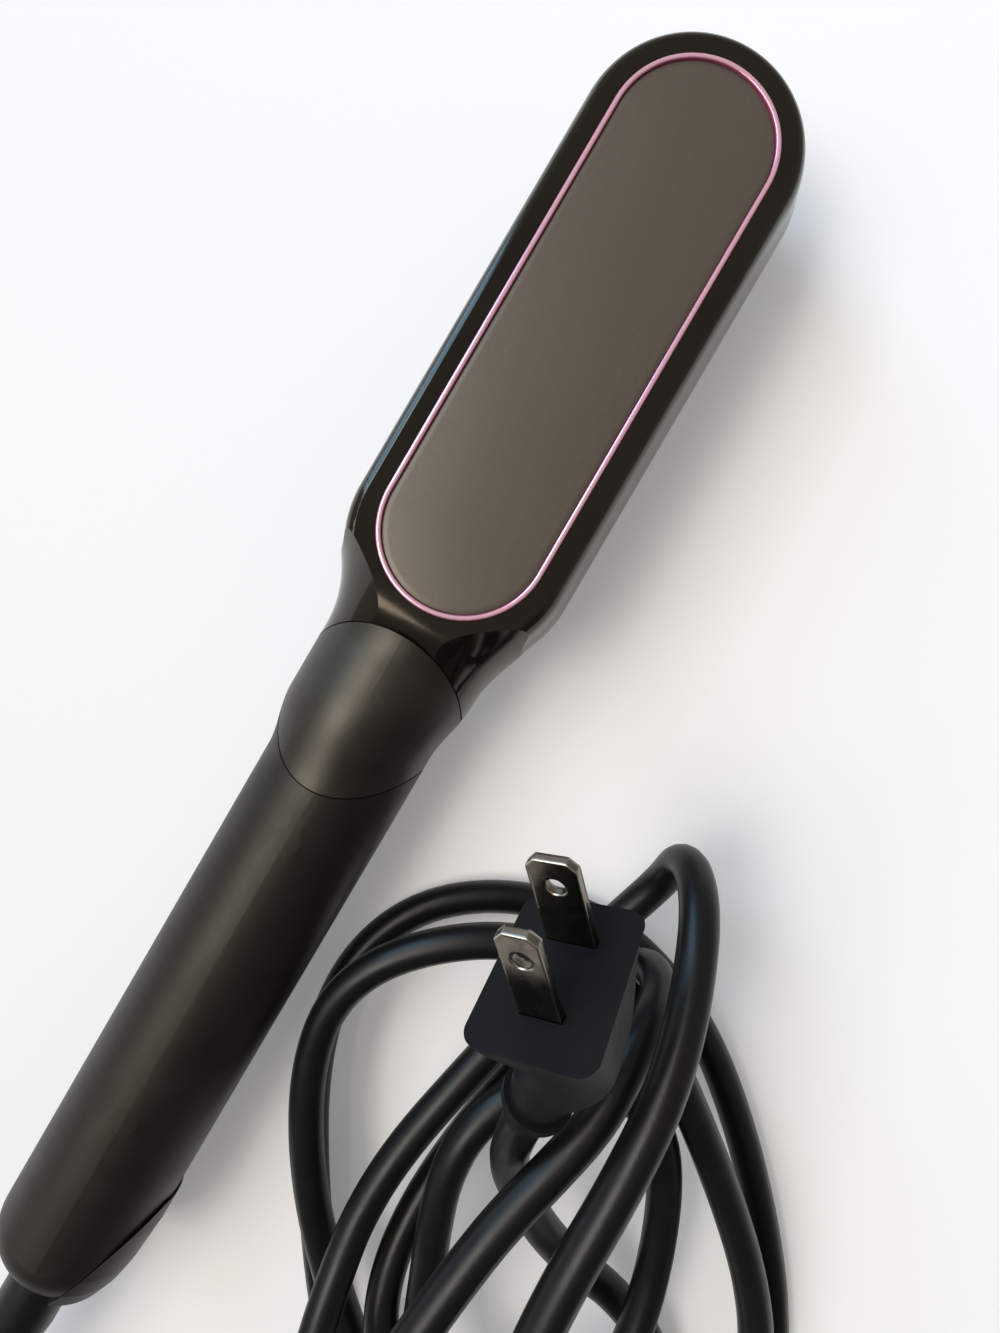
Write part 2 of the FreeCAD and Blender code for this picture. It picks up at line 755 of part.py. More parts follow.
heater_top_z = flange_top_z + heater_thickness
window_half = heater_gap / 2
pack_half = heater_spacing / 2 + heater_length / 2
sensor_window = block(comb_middle_x - window_half, comb_middle_x + window_half,
                      -sensor_window_half, sensor_window_half, 0, far)
mica_top_z = heater_top_z + mica_thickness
mica_sheet = block(comb_middle_x - pack_half, comb_middle_x + pack_half, -heater_width / 2, heater_width / 2,
                   heater_top_z, mica_top_z).cut(sensor_window)
save("mica_sheet", mica_sheet)

clamp_half_width = heater_width / 2 - clamp_margin
clamp_top_z = mica_top_z + clamp_thickness
clamp_bridge = block(comb_middle_x - pack_half - clamp_thickness - fit_gap,
                     comb_middle_x + pack_half + clamp_thickness + fit_gap,
                     -clamp_half_width, clamp_half_width, mica_top_z, clamp_top_z).cut(sensor_window)
clamp_parts = []
for side in (-1, 1):
    web = comb_middle_x + side * (pack_half + fit_gap)
    outer = web + side * clamp_thickness
    end = comb_middle_x + side * clamp_half_length
    clamp_parts.append(block(min(web, outer), max(web, outer), -clamp_half_width, clamp_half_width,
                             flange_top_z, clamp_top_z))
    clamp_parts.append(block(min(outer, end), max(outer, end), -clamp_half_width, clamp_half_width,
                             flange_top_z, flange_top_z + clamp_thickness))
heater_clamp = clamp_bridge.fuse(clamp_parts).removeSplitter()
for x in clamp_screw_places:
    heater_clamp = heater_clamp.cut(post(x, 0, 0, far, clamp_screw_radius + fit_gap))
save("heater_clamp", heater_clamp)

sensor_z = flange_top_z + thermistor_radius
thermistor_end = Vector(comb_middle_x, -thermistor_length / 2, sensor_z)
thermistor = Part.makeCylinder(thermistor_radius, thermistor_length, thermistor_end, Vector(0, 1, 0))
save("thermistor", thermistor)

fuse_x = comb_middle_x - heater_spacing / 2 - fuse_length / 2
fuse_z = clamp_top_z + fuse_radius
thermal_fuse = rod(fuse_x, fuse_x + fuse_length, fuse_radius, 0, fuse_z)
save("thermal_fuse", thermal_fuse)

# Neck cover and sleeve

cover_form = neck_form.common(almond(0.0, cover_edge_z))
neck_cover = cover_form.cut(neck_turned(cover_thickness))
save("neck_cover", neck_cover)

sleeve_span = block(sleeve_tail_x, sleeve_head_x, -far, far, -far, far)
sleeve_outer = neck_bored(handle_wall + fit_gap).common(sleeve_span)
sleeve_outer = sleeve_outer.cut(throat_hollow(head_wall + fit_gap))
neck_sleeve = sleeve_outer.cut(neck_bored(handle_wall + fit_gap + sleeve_thickness))
neck_screws = []
neck_screw_places = [neck_seam_x - neck_screw_offset, neck_seam_x + neck_screw_offset]
for x in neck_screw_places:
    neck_sleeve = neck_sleeve.fuse(boss(x, 0, 0, neck_screw_top_z).common(sleeve_outer))
    neck_sleeve = neck_sleeve.cut(bore(x, 0, 0, neck_screw_top_z + 1))
    neck_screws.append(screw(x, 0, neck_screw_z, neck_screw_top_z - fit_gap))
save("neck_sleeve", neck_sleeve)
save("neck_screws", group(neck_screws))
neck_seat_z = neck_screw_z + screw_head_height
head_neck_x = neck_screw_places[1]
front_frame = front_frame.cut(bore(head_neck_x, 0, -1, handle_axis_z))
front_frame = front_frame.cut(counterbore(head_neck_x, 0, -1, neck_seat_z))
save("front_frame", front_frame)

# Handle shells

panel_low_centre = panel_low_x + panel_half_width
panel_high_centre = panel_high_x - panel_half_width
neck_part = neck_form.common(handle_side)
grip = handle_form(0.0).fuse(neck_part).removeSplitter()
tail_room = block(tail_x + tail_wall, far, -far, far, -far, far)
grip_bore = handle_form(handle_wall).common(tail_room).fuse(neck_bore.common(handle_side)).removeSplitter()
nose_hole = rod(tail_x - 1, tail_x + tail_wall + 1, bush_nose_radius + fit_gap)
cradle_x = tail_x + tail_wall + bush_length / 2
cradle = rod(cradle_x, cradle_x + cradle_width, handle_tail_radius - handle_wall / 2)
cradle = cradle.cut(rod(cradle_x - 1, cradle_x + cradle_width + 1, bush_radius + fit_gap))
grip_wall = grip.cut(grip_bore).fuse(cradle).cut(nose_hole).cut(flank_wedge(seam_gap))
grip_wall = grip_wall.cut(cover_pocket)
rear_shell = grip_wall.common(above_axis)
front_shell = grip_wall.common(below_axis)

bed_half = panel_half_width + panel_bed_margin
bed = stadium(panel_low_centre, panel_high_centre, bed_half, handle_axis_z - handle_radius, bed_top_z)
front_shell = front_shell.fuse(bed.common(grip))
board_screw_y = board_half_width - board_screw_edge
board_screw_places = [
    (x, side * board_screw_y)
    for x in (board_low_x + board_screw_inset, board_high_x - board_screw_inset)
    for side in (-1, 1)
]
handle_screw_places = [panel_low_x + handle_screw_inset, panel_high_x - handle_screw_inset]
for x, y in board_screw_places:
    front_shell = front_shell.fuse(boss(x, y, 0, board_z).common(grip))
for x in handle_screw_places:
    front_shell = front_shell.fuse(boss(x, 0, 0, handle_axis_z).common(grip))
    rear_shell = rear_shell.fuse(boss(x, 0, handle_axis_z, far).common(grip))
panel_pocket = stadium(panel_low_centre, panel_high_centre, panel_half_width + fit_gap, -far,
                       panel_face_z + panel_thickness)
front_shell = front_shell.cut(panel_pocket)
button_places = {"power": power_x, "plus": plus_x, "minus": minus_x}
button_holes = [post(x, 0, -far, bed_top_z + 1, button_radius + slide_gap) for x in button_places.values()]


def lens_prism(grow, z0, z1):
    half = lens_width / 2 + grow
    reach = lens_length / 2 - lens_width / 2
    return stadium(lens_x - reach, lens_x + reach, half, z0, z1)


lens_hole = lens_prism(fit_gap, -far, bed_top_z + 1)
flange_room = button_radius + button_flange + slide_gap
flange_seats = [post(x, 0, bed_top_z, board_z, flange_room) for x in button_places.values()]
flange_seats.append(lens_prism(lens_lip + fit_gap, bed_top_z, board_z))
front_shell = front_shell.cut(button_holes + [lens_hole] + flange_seats)
board_screws = []
for x, y in board_screw_places:
    front_shell = front_shell.cut(bore(x, y, bed_top_z, board_z + 1))
    head = post(x, y, board_top_z, board_top_z + screw_head_height, screw_head_radius)
    board_screws.append(head.fuse(post(x, y, bed_top_z + fit_gap, board_top_z, screw_radius)))
handle_screws = []
handle_screw_z = panel_face_z + panel_thickness + handle_screw_sunk
handle_screw_seat_z = handle_screw_z + screw_head_height
handle_screw_top_z = handle_axis_z + handle_screw_bite
for x in handle_screw_places:
    front_shell = front_shell.cut(bore(x, 0, 0, handle_axis_z + 1))
    front_shell = front_shell.cut(counterbore(x, 0, 0, handle_screw_seat_z))
    rear_shell = rear_shell.cut(bore(x, 0, 0, handle_screw_top_z + fit_gap))
    handle_screws.append(screw(x, 0, handle_screw_z, handle_screw_top_z))
tail_neck_x = neck_screw_places[0]
front_shell = front_shell.cut(bore(tail_neck_x, 0, -1, handle_axis_z))
front_shell = front_shell.cut(counterbore(tail_neck_x, 0, -1, neck_seat_z))
save("handle_rear_shell", rear_shell)
save("handle_front_shell", front_shell)
save("handle_screws", group(handle_screws))
save("board_screws", group(board_screws))

tail_cover = flank_form(0.0).cut(flank_form(flank_wall)).cut(nose_hole).common(flank_wedge(0.0))
save("tail_cover", tail_cover)

# Control panel, buttons and lens

control_panel = stadium(panel_low_centre, panel_high_centre, panel_half_width, panel_face_z,
                        panel_face_z + panel_thickness)
control_panel = control_panel.cut(button_holes + [lens_hole])
save("control_panel", control_panel)

plunger_z = board_z - switch_height - plunger_height
stem_top_z = plunger_z - button_travel - fit_gap
button_face_z = panel_face_z - button_proud
for name, x in button_places.items():
    flange_z = bed_top_z + fit_gap
    cap = post(x, 0, button_face_z, flange_z + button_flange_thickness, button_radius)
    rim = [edge for edge in cap.Edges if abs(edge.BoundBox.ZMax - button_face_z) < 1e-6]
    cap = cap.makeChamfer(button_edge, rim)
    flange = post(x, 0, flange_z, flange_z + button_flange_thickness, button_radius + button_flange)
    stem = post(x, 0, flange_z, stem_top_z, button_stem_radius)
    save(name + "_button", cap.fuse([flange, stem]).removeSplitter())

lens_flange = lens_prism(lens_lip, bed_top_z, bed_top_z + lens_lip)
indicator_lens = lens_prism(0.0, panel_face_z, bed_top_z).fuse(lens_flange).removeSplitter()
save("indicator_lens", indicator_lens)

# Circuit board and what stands on it

board = block(board_low_x, board_high_x, -board_half_width, board_half_width, board_z, board_top_z)
for x, y in board_screw_places:
    board = board.cut(bore(x, y, 0, far))
save("circuit_board", board)

switches = []
for x in button_places.values():
    body = block(x - switch_size / 2, x + switch_size / 2, -switch_size / 2, switch_size / 2,
                 board_z - switch_height, board_z)
    switches.append(body.fuse(post(x, 0, plunger_z, board_z, plunger_radius)))
save("tact_switches", group(switches))

leds = []
for i in range(led_count):
    x = lens_x + (i - (led_count - 1) / 2) * led_pitch
    half = led_size / 2
    leds.append(block(x - half, x + half, -half, half, board_z - led_size, board_z))
save("indicator_leds", group(leds))

save("controller_chip", block(chip_x - chip_size / 2, chip_x + chip_size / 2, -chip_size / 2, chip_size / 2,
                              board_top_z, board_top_z + chip_height))
triac_low_x = triac_x - triac_length / 2
triac_body = block(triac_low_x, triac_low_x + triac_length, -triac_half_width, triac_half_width,
                   board_top_z, board_top_z + triac_height)
triac_tab = block(triac_low_x - triac_tab_length, triac_low_x, -triac_half_width, triac_half_width,
                  board_top_z, board_top_z + triac_tab_thickness)
triac_hole = post(triac_low_x - triac_tab_length / 2, 0, 0, far, triac_hole_radius)
save("triac", triac_body.fuse(triac_tab).cut(triac_hole).removeSplitter())
capacitor_top_z = handle_axis_z + handle_radius - handle_wall - capacitor_room
save("filter_capacitor", block(capacitor_x - capacitor_length / 2, capacitor_x + capacitor_length / 2,
                               -capacitor_width / 2, capacitor_width / 2, board_top_z, capacitor_top_z))

# Swivelling cord entry

bush_end_x = tail_x + tail_wall + bush_length
shelf_end_x = bush_end_x + shelf_length
shelf_top_z = handle_axis_z - bush_radius + shelf_rise
bush = rod(tail_x, tail_x + tail_wall, bush_nose_radius)
shelf = block(bush_end_x - shelf_root, shelf_end_x, -shelf_half_width, shelf_half_width,
              shelf_top_z - shelf_thickness, shelf_top_z)
bush = bush.fuse([rod(tail_x + tail_wall, bush_end_x, bush_radius), shelf]).removeSplitter()
bush = bush.cut(rod(tail_x - 1, bush_end_x + 1, swivel_radius + swivel_gap))
save("swivel_bush", bush)

relief_start_x = tail_x - seam_gap
relief_end_x = relief_start_x - relief_length
flange_start_x = bush_end_x + seam_gap
stub_start_x = flange_start_x + swivel_flange_thickness
stub_end_x = stub_start_x + stub_length
core = turned([
    (relief_start_x, 0.0),
    (relief_start_x, swivel_radius),
    (flange_start_x, swivel_radius),
    (flange_start_x, swivel_flange_radius),
    (stub_start_x, swivel_flange_radius),
    (stub_start_x, stub_radius),
    (stub_end_x, stub_radius),
    (stub_end_x, 0.0),
])
save("swivel_core", core)

ring_step = stub_length / 2
slip_rings = []
contact_springs = []
leg_places = []
for i, side in enumerate((1, -1)):
    start = stub_start_x + ring_step * i + (ring_step - slip_ring_width) / 2
    leaf_low_x = start + (slip_ring_width - leaf_width) / 2
    leaf_high_x = leaf_low_x + leaf_width
    ring = rod(start, start + slip_ring_width, slip_ring_radius)
    slip_rings.append(ring.cut(rod(start - 1, start + slip_ring_width + 1, stub_radius + swivel_gap)))
    leaf_top = handle_axis_z - slip_ring_radius - slide_gap
    leaf = block(leaf_low_x, leaf_high_x, -leaf_half_length, leaf_half_length,
                 leaf_top - leaf_thickness, leaf_top)
    leg_outer = side * leaf_half_length
    leg_sides = sorted((leg_outer, leg_outer - side * leaf_thickness))
    leg = block(leaf_low_x, leaf_high_x, leg_sides[0], leg_sides[1], shelf_top_z, leaf_top)
    contact_springs.append(leaf.fuse(leg).removeSplitter())
    leg_places.append(((leaf_low_x + leaf_high_x) / 2, leg_outer, (shelf_top_z + leaf_top) / 2))
save("slip_rings", group(slip_rings))
save("contact_springs", group(contact_springs))

relief_profile = [
    (relief_start_x, 0.0),
    (relief_start_x, relief_root_radius),
    (relief_start_x - relief_collar, relief_root_radius),
]
groove_pitch = (relief_length - relief_collar - relief_cuff) / relief_groove_count


def relief_radius(x):
    along = (relief_start_x - relief_collar - x) / (relief_length - relief_collar)
    return relief_root_radius + (relief_tip_radius - relief_root_radius) * along


for i in range(relief_groove_count):
    x = relief_start_x - relief_collar - groove_pitch * i
    land_x = x - groove_pitch * relief_land
    next_x = x - groove_pitch
    groove_x = (land_x + next_x) / 2
    relief_profile.append((land_x, relief_radius(land_x)))
    relief_profile.append((groove_x, relief_radius(groove_x) - relief_groove))
    relief_profile.append((next_x, relief_radius(next_x)))
relief_profile.append((relief_end_x, relief_tip_radius))
relief_profile.append((relief_end_x, 0.0))
save("strain_relief", turned(relief_profile))

# Wires and cords


def cord_section(centre, along, radius, sides):
    # The cord's section, a regular polygon square to its run.
    turn = Rotation(Vector(0, 0, 1), along)
    corners = []
    for i in range(sides + 1):
        angle = 2 * math.pi * i / sides
        corners.append(centre + turn.multVec(Vector(math.cos(angle), math.sin(angle), 0) * radius))
    return Part.makePolygon(corners)


def cord_tube(name, points, radius, sides):
    # A tube along straight runs joined by tangent arcs, each as large as its two runs allow.
    runs = [q - p for p, q in zip(points, points[1:])]
    edges = []
    bends = []
    start = points[0]
    for corner, before, after in zip(points[1:], runs, runs[1:]):
        trim = arc_share * min(before.Length, after.Length)
        half_turn = before.getAngle(after) / 2
        bend = trim / math.tan(half_turn)
        arc_start = corner - unit(before) * trim
        arc_end = corner + unit(after) * trim
        arc_middle = corner + unit(unit(after) - unit(before)) * (bend / math.cos(half_turn) - bend)
        edges.append(Part.LineSegment(start, arc_start).toShape())
        edges.append(Part.Arc(arc_start, arc_middle, arc_end).toShape())
        bends.append(round(bend, 1))
        start = arc_end
    edges.append(Part.LineSegment(start, points[-1]).toShape())
    path = Part.Wire(edges)
    section = cord_section(points[0], runs[0], radius, sides)
    tube = path.makePipeShell([section], True, False)
    share = tube.Volume / (Part.Face(section).Area * path.Length)
    print(name, "bends", bends, "length", round(path.Length, 1), "volume share", round(share, 3))
    return tube


wire_rise = wire_radius + wire_gap
deck_wire_z = flange_top_z + wire_rise
board_wire_z = board_top_z + wire_rise
heater_wires = []
for side in (-1, 1):
    y = side * (heater_width / 2 + wire_rise)
    heater_wires.append(cord_tube("heater wire", [
        Vector(comb_middle_x - pack_half + heater_wire_tip, y, deck_wire_z),
        Vector(neck_high_x, y, deck_wire_z),
        Vector(handle_top_x, y, board_wire_z),
        Vector(board_high_x - board_wire_overlap, y, board_wire_z),
    ], wire_radius, wire_sides))
save("heater_leads", group(heater_wires))

mains_wires = []
for leg_x, leg_y, leg_z in leg_places:
    y = leg_y + math.copysign(wire_rise, leg_y)
    mains_wires.append(cord_tube("mains wire", [
        Vector(leg_x, y, leg_z),
        Vector(shelf_end_x + mains_wire_overlap, y, leg_z),
        Vector(board_low_x - mains_wire_overlap / 2, y, board_wire_z),
        Vector(board_low_x + mains_wire_overlap, y, board_wire_z),
    ], wire_radius, wire_sides))
save("mains_leads", group(mains_wires))


def coil_size(turns):
    # Sizes of the loop at a count of turns, easing from one loop to the next.
    first = math.floor(turns)
    share = (turns - first - coil_hold) / (1 - 2 * coil_hold)
    share = min(max(share, 0.0), 1.0)
    ease = share * share * (3 - 2 * share)
    last = len(coil_loops) - 1
    lower = coil_loops[min(max(first, 0), last)]
    upper = coil_loops[min(max(first + 1, 0), last)]
    return [a + (b - a) * ease for a, b in zip(lower, upper)]


def coil_point(turns):
    x, y, reach, spread, heading, height, rise, lean = coil_size(turns)
    angle = 2 * math.pi * turns
    swell = coil_roundness * (1 - math.hypot(spread, lean) / reach)
    along = reach * math.cos(angle)
    across = math.sin(angle) * (1 + swell * math.cos(angle) ** 2)
    ahead = Vector(math.cos(math.radians(heading)), math.sin(math.radians(heading)), 0)
    aside = Vector(-ahead.y, ahead.x, 0)
    middle = Vector(x, y, height + rise * math.cos(angle) + lean * across)
    return middle + ahead * along + aside * (spread * across)


def coil_direction(turns):
    return unit(coil_point(turns + 1e-4) - coil_point(turns - 1e-4))


def arc_edge(start, along, end, guide):
    # The arc that leaves its start along a direction, bowed towards the corner of its two tangents.
    middle = (start + end) * 0.5
    bow = (end - start).Length / 2 * math.tan(along.getAngle(end - start) / 2)
    return Part.Arc(start, middle + unit(guide - middle) * bow, end).toShape()


def two_arcs(start, leaving, end, arriving):
    # Two tangent arcs between two points with given directions.
    chord = end - start
    both = leaving + arriving
    spare = 2 * (1 - leaving.dot(arriving))
    reach = (math.sqrt(chord.dot(both) ** 2 + spare * chord.dot(chord)) - chord.dot(both)) / spare
    first = start + leaving * reach
    second = end - arriving * reach
    join = (first + second) * 0.5
    return [arc_edge(start, leaving, join, first), arc_edge(join, unit(second - first), end, second)]


cord_radius = cord_diameter / 2
coil_count = round((coil_end - coil_start) / coil_step)
coil_turns = [coil_start + coil_step * i for i in range(coil_count + 1)]
coil_in = coil_point(coil_start) - coil_direction(coil_start) * cord_diameter
coil_out = coil_point(coil_end) + coil_direction(coil_end) * cord_diameter
coil_edges = [Part.LineSegment(coil_in, coil_point(coil_start)).toShape()]
for a, b in zip(coil_turns, coil_turns[1:]):
    coil_edges += two_arcs(coil_point(a), coil_direction(a), coil_point(b), coil_direction(b))
coil_edges.append(Part.LineSegment(coil_point(coil_end), coil_out).toShape())
coil_path = Part.Wire(coil_edges)
coil_section = cord_section(coil_in, coil_direction(coil_start), cord_radius, cord_sides)
cord_coil = coil_path.makePipeShell([coil_section], True, False)
coil_share = cord_coil.Volume / (Part.Face(coil_section).Area * coil_path.Length)

coil_dots = []
coil_run = 0.0
for edge in coil_edges:
    for dot in edge.discretize(12)[:-1]:
        coil_dots.append((coil_run, dot))
        coil_run += edge.Length / 11
near = math.pi * cord_diameter
coil_clear = min(p.distanceToPoint(q) for s, p in coil_dots for t, q in coil_dots if t - s > near)
coil_gap = coil_clear - cord_diameter
coil_bend = min(edge.Curve.Radius for edge in coil_edges[1:-1])
print("coil length", round(coil_path.Length, 1), "least gap", round(coil_gap, 2))
print("coil least bend", round(coil_bend, 1), "volume share", round(coil_share, 3))
save("cord_coil", cord_coil)

lead_start = Vector(relief_end_x, 0, handle_axis_z)
lead_last = coil_in - coil_direction(coil_start) * lead_last_run
lead_route = [lead_start] + [Vector(*point) for point in lead_points] + [lead_last, coil_in]
save("cord_lead", cord_tube("lead", lead_route, cord_radius, cord_sides))

# Plug

blade_axis = unit(plug_blade_axis)
cord_axis = unit(plug_cord_axis)


def plug_frame(origin, forward):
    side = forward.cross(plug_row_axis)
    return Placement(origin, Rotation(plug_row_axis, side, forward, "ZYX"))


def placed(shape, frame):
    copy = shape.copy()
    copy.Placement = frame.multiply(copy.Placement)
    return copy


def plug_outline(size, frame):
    # A rounded oblong across the plug.
    half_width, half_depth, corner = size
    inner_x = half_width - corner
    inner_y = half_depth - corner
    slant = corner * math.sqrt(0.5)
    edges = []
    for x, y, start in ((1, 1, 0), (-1, 1, 1), (-1, -1, 2), (1, -1, 3)):
        centre = Vector(x * inner_x, y * inner_y, 0)
        ways = [Vector(corner, 0, 0), Vector(0, corner, 0), Vector(-corner, 0, 0), Vector(0, -corner, 0)]
        first = centre + ways[start]
        last = centre + ways[(start + 1) % 4]
        edges.append((first, centre + Vector(x * slant, y * slant, 0), last))
    shapes = []
    for i, (first, middle, last) in enumerate(edges):
        shapes.append(Part.Arc(first, middle, last).toShape())
        shapes.append(Part.LineSegment(last, edges[(i + 1) % 4][0]).toShape())
    return placed(Part.Wire(shapes), frame)


plug_front_place = plug_frame(plug_face, blade_axis)
bend_place = plug_face - blade_axis * plug_bend
plug_neck_place = bend_place + cord_axis * plug_rear
plug_sections = [
    plug_outline(plug_front_half, plug_front_place),
    plug_outline(plug_belly_half, plug_frame(plug_face - blade_axis * plug_belly_back, blade_axis)),
    plug_outline(plug_waist_half, plug_frame(bend_place, unit(blade_axis - cord_axis))),
    plug_outline(plug_rear_half, plug_frame(plug_neck_place, -cord_axis)),
]
plug_body = Part.makeLoft(plug_sections, True, False)
blades = []
for side, width in zip((-1, 1), blade_widths):
    x = side * blade_spacing / 2 - blade_thickness / 2
    half = width / 2
    outline = [
        Vector(x, -half, -blade_seat), Vector(x, half, -blade_seat),
        Vector(x, half, blade_length - blade_chamfer), Vector(x, half - blade_chamfer, blade_length),
        Vector(x, blade_chamfer - half, blade_length), Vector(x, -half, blade_length - blade_chamfer),
    ]
    blade = Part.Face(Part.makePolygon(outline + outline[:1])).extrude(Vector(blade_thickness, 0, 0))
    hole_start = Vector(x - 1, 0, blade_length - blade_hole_back)
    hole = Part.makeCylinder(blade_hole_radius, blade_thickness + 2, hole_start, Vector(1, 0, 0))
    blades.append(placed(blade.cut(hole), plug_front_place))
    slot = block(x - fit_gap, x + blade_thickness + fit_gap, -half - fit_gap, half + fit_gap,
                 -blade_seat - fit_gap, 1)
    plug_body = plug_body.cut(placed(slot, plug_front_place))
save("plug_body", plug_body)
save("plug_blades", group(blades))

plug_neck_corners = [
    (0.0, 0.0),
    (plug_neck_root_radius, 0.0),
    (plug_neck_root_radius - plug_neck_taper, plug_neck_ring_back),
    (plug_neck_ring_radius, plug_neck_ring_back),
    (plug_neck_ring_radius, plug_neck_ring_back + plug_neck_ring_width),
    (plug_neck_root_radius - plug_neck_taper, plug_neck_ring_back + plug_neck_ring_width),
    (plug_neck_tip_radius, plug_neck_length),
    (0.0, plug_neck_length),
]
plug_neck_points = [Vector(radius, 0, -back) for radius, back in plug_neck_corners]
plug_neck_face = Part.Face(Part.makePolygon(plug_neck_points + plug_neck_points[:1]))
plug_neck = plug_neck_face.revolve(Vector(0, 0, 0), Vector(0, 0, 1), 360)
save("plug_neck", placed(plug_neck, plug_frame(plug_neck_place, -cord_axis)))

tail_end = plug_neck_place + cord_axis * plug_neck_length
tail_first = coil_out + coil_direction(coil_end) * tail_first_run
tail_last = tail_end + cord_axis * tail_last_run
tail_route = [coil_out, tail_first] + [Vector(*point) for point in tail_points] + [tail_last, tail_end]
save("cord_tail", cord_tube("tail", tail_route, cord_radius, cord_sides))
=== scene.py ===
import math

import bpy
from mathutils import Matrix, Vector


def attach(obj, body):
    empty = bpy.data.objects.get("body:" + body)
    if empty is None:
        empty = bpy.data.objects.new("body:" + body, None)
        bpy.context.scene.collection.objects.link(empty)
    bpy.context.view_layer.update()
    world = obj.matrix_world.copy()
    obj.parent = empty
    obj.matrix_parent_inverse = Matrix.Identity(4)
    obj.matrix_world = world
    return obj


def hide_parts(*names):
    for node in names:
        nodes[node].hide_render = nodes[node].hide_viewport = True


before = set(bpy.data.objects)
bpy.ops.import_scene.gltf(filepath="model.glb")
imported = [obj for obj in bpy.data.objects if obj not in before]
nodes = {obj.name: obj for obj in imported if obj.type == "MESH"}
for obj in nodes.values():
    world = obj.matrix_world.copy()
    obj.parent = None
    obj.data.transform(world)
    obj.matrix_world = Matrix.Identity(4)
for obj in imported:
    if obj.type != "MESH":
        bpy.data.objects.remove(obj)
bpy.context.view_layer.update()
print("frame loaded:", len(nodes), "pieces")


def addToScene(name, data):
    thing = bpy.data.objects.new(name, data)
    bpy.context.scene.collection.objects.link(thing)
    return thing


# camera straight above the brush, turned so that the head points to the top right
camera = {
    "place": (0.01365, -0.0189, 0.181),
    "turn": math.radians(-59.71),
    "lens": 20.255,
    "sensor": 36.0,
    "near": 0.005,
    "far": 20.0,
}
# directions on the floor as the camera sees them
toRight = Vector((math.cos(camera["turn"]), math.sin(camera["turn"]), 0.0))
toBottom = Vector((math.sin(camera["turn"]), -math.cos(camera["turn"]), 0.0))
upward = Vector((0.0, 0.0, 1.0))


def placeCamera():
    data = bpy.data.cameras.new("photoCamera")
    data.sensor_fit = "VERTICAL"
    data.sensor_height = camera["sensor"]
    data.lens = camera["lens"]
    data.clip_start = camera["near"]
    data.clip_end = camera["far"]
    view = addToScene("photoCamera", data)
    view.location = camera["place"]
    view.rotation_euler = (0.0, 0.0, camera["turn"])
    bpy.context.scene.camera = view


placeCamera()
print("camera placed")


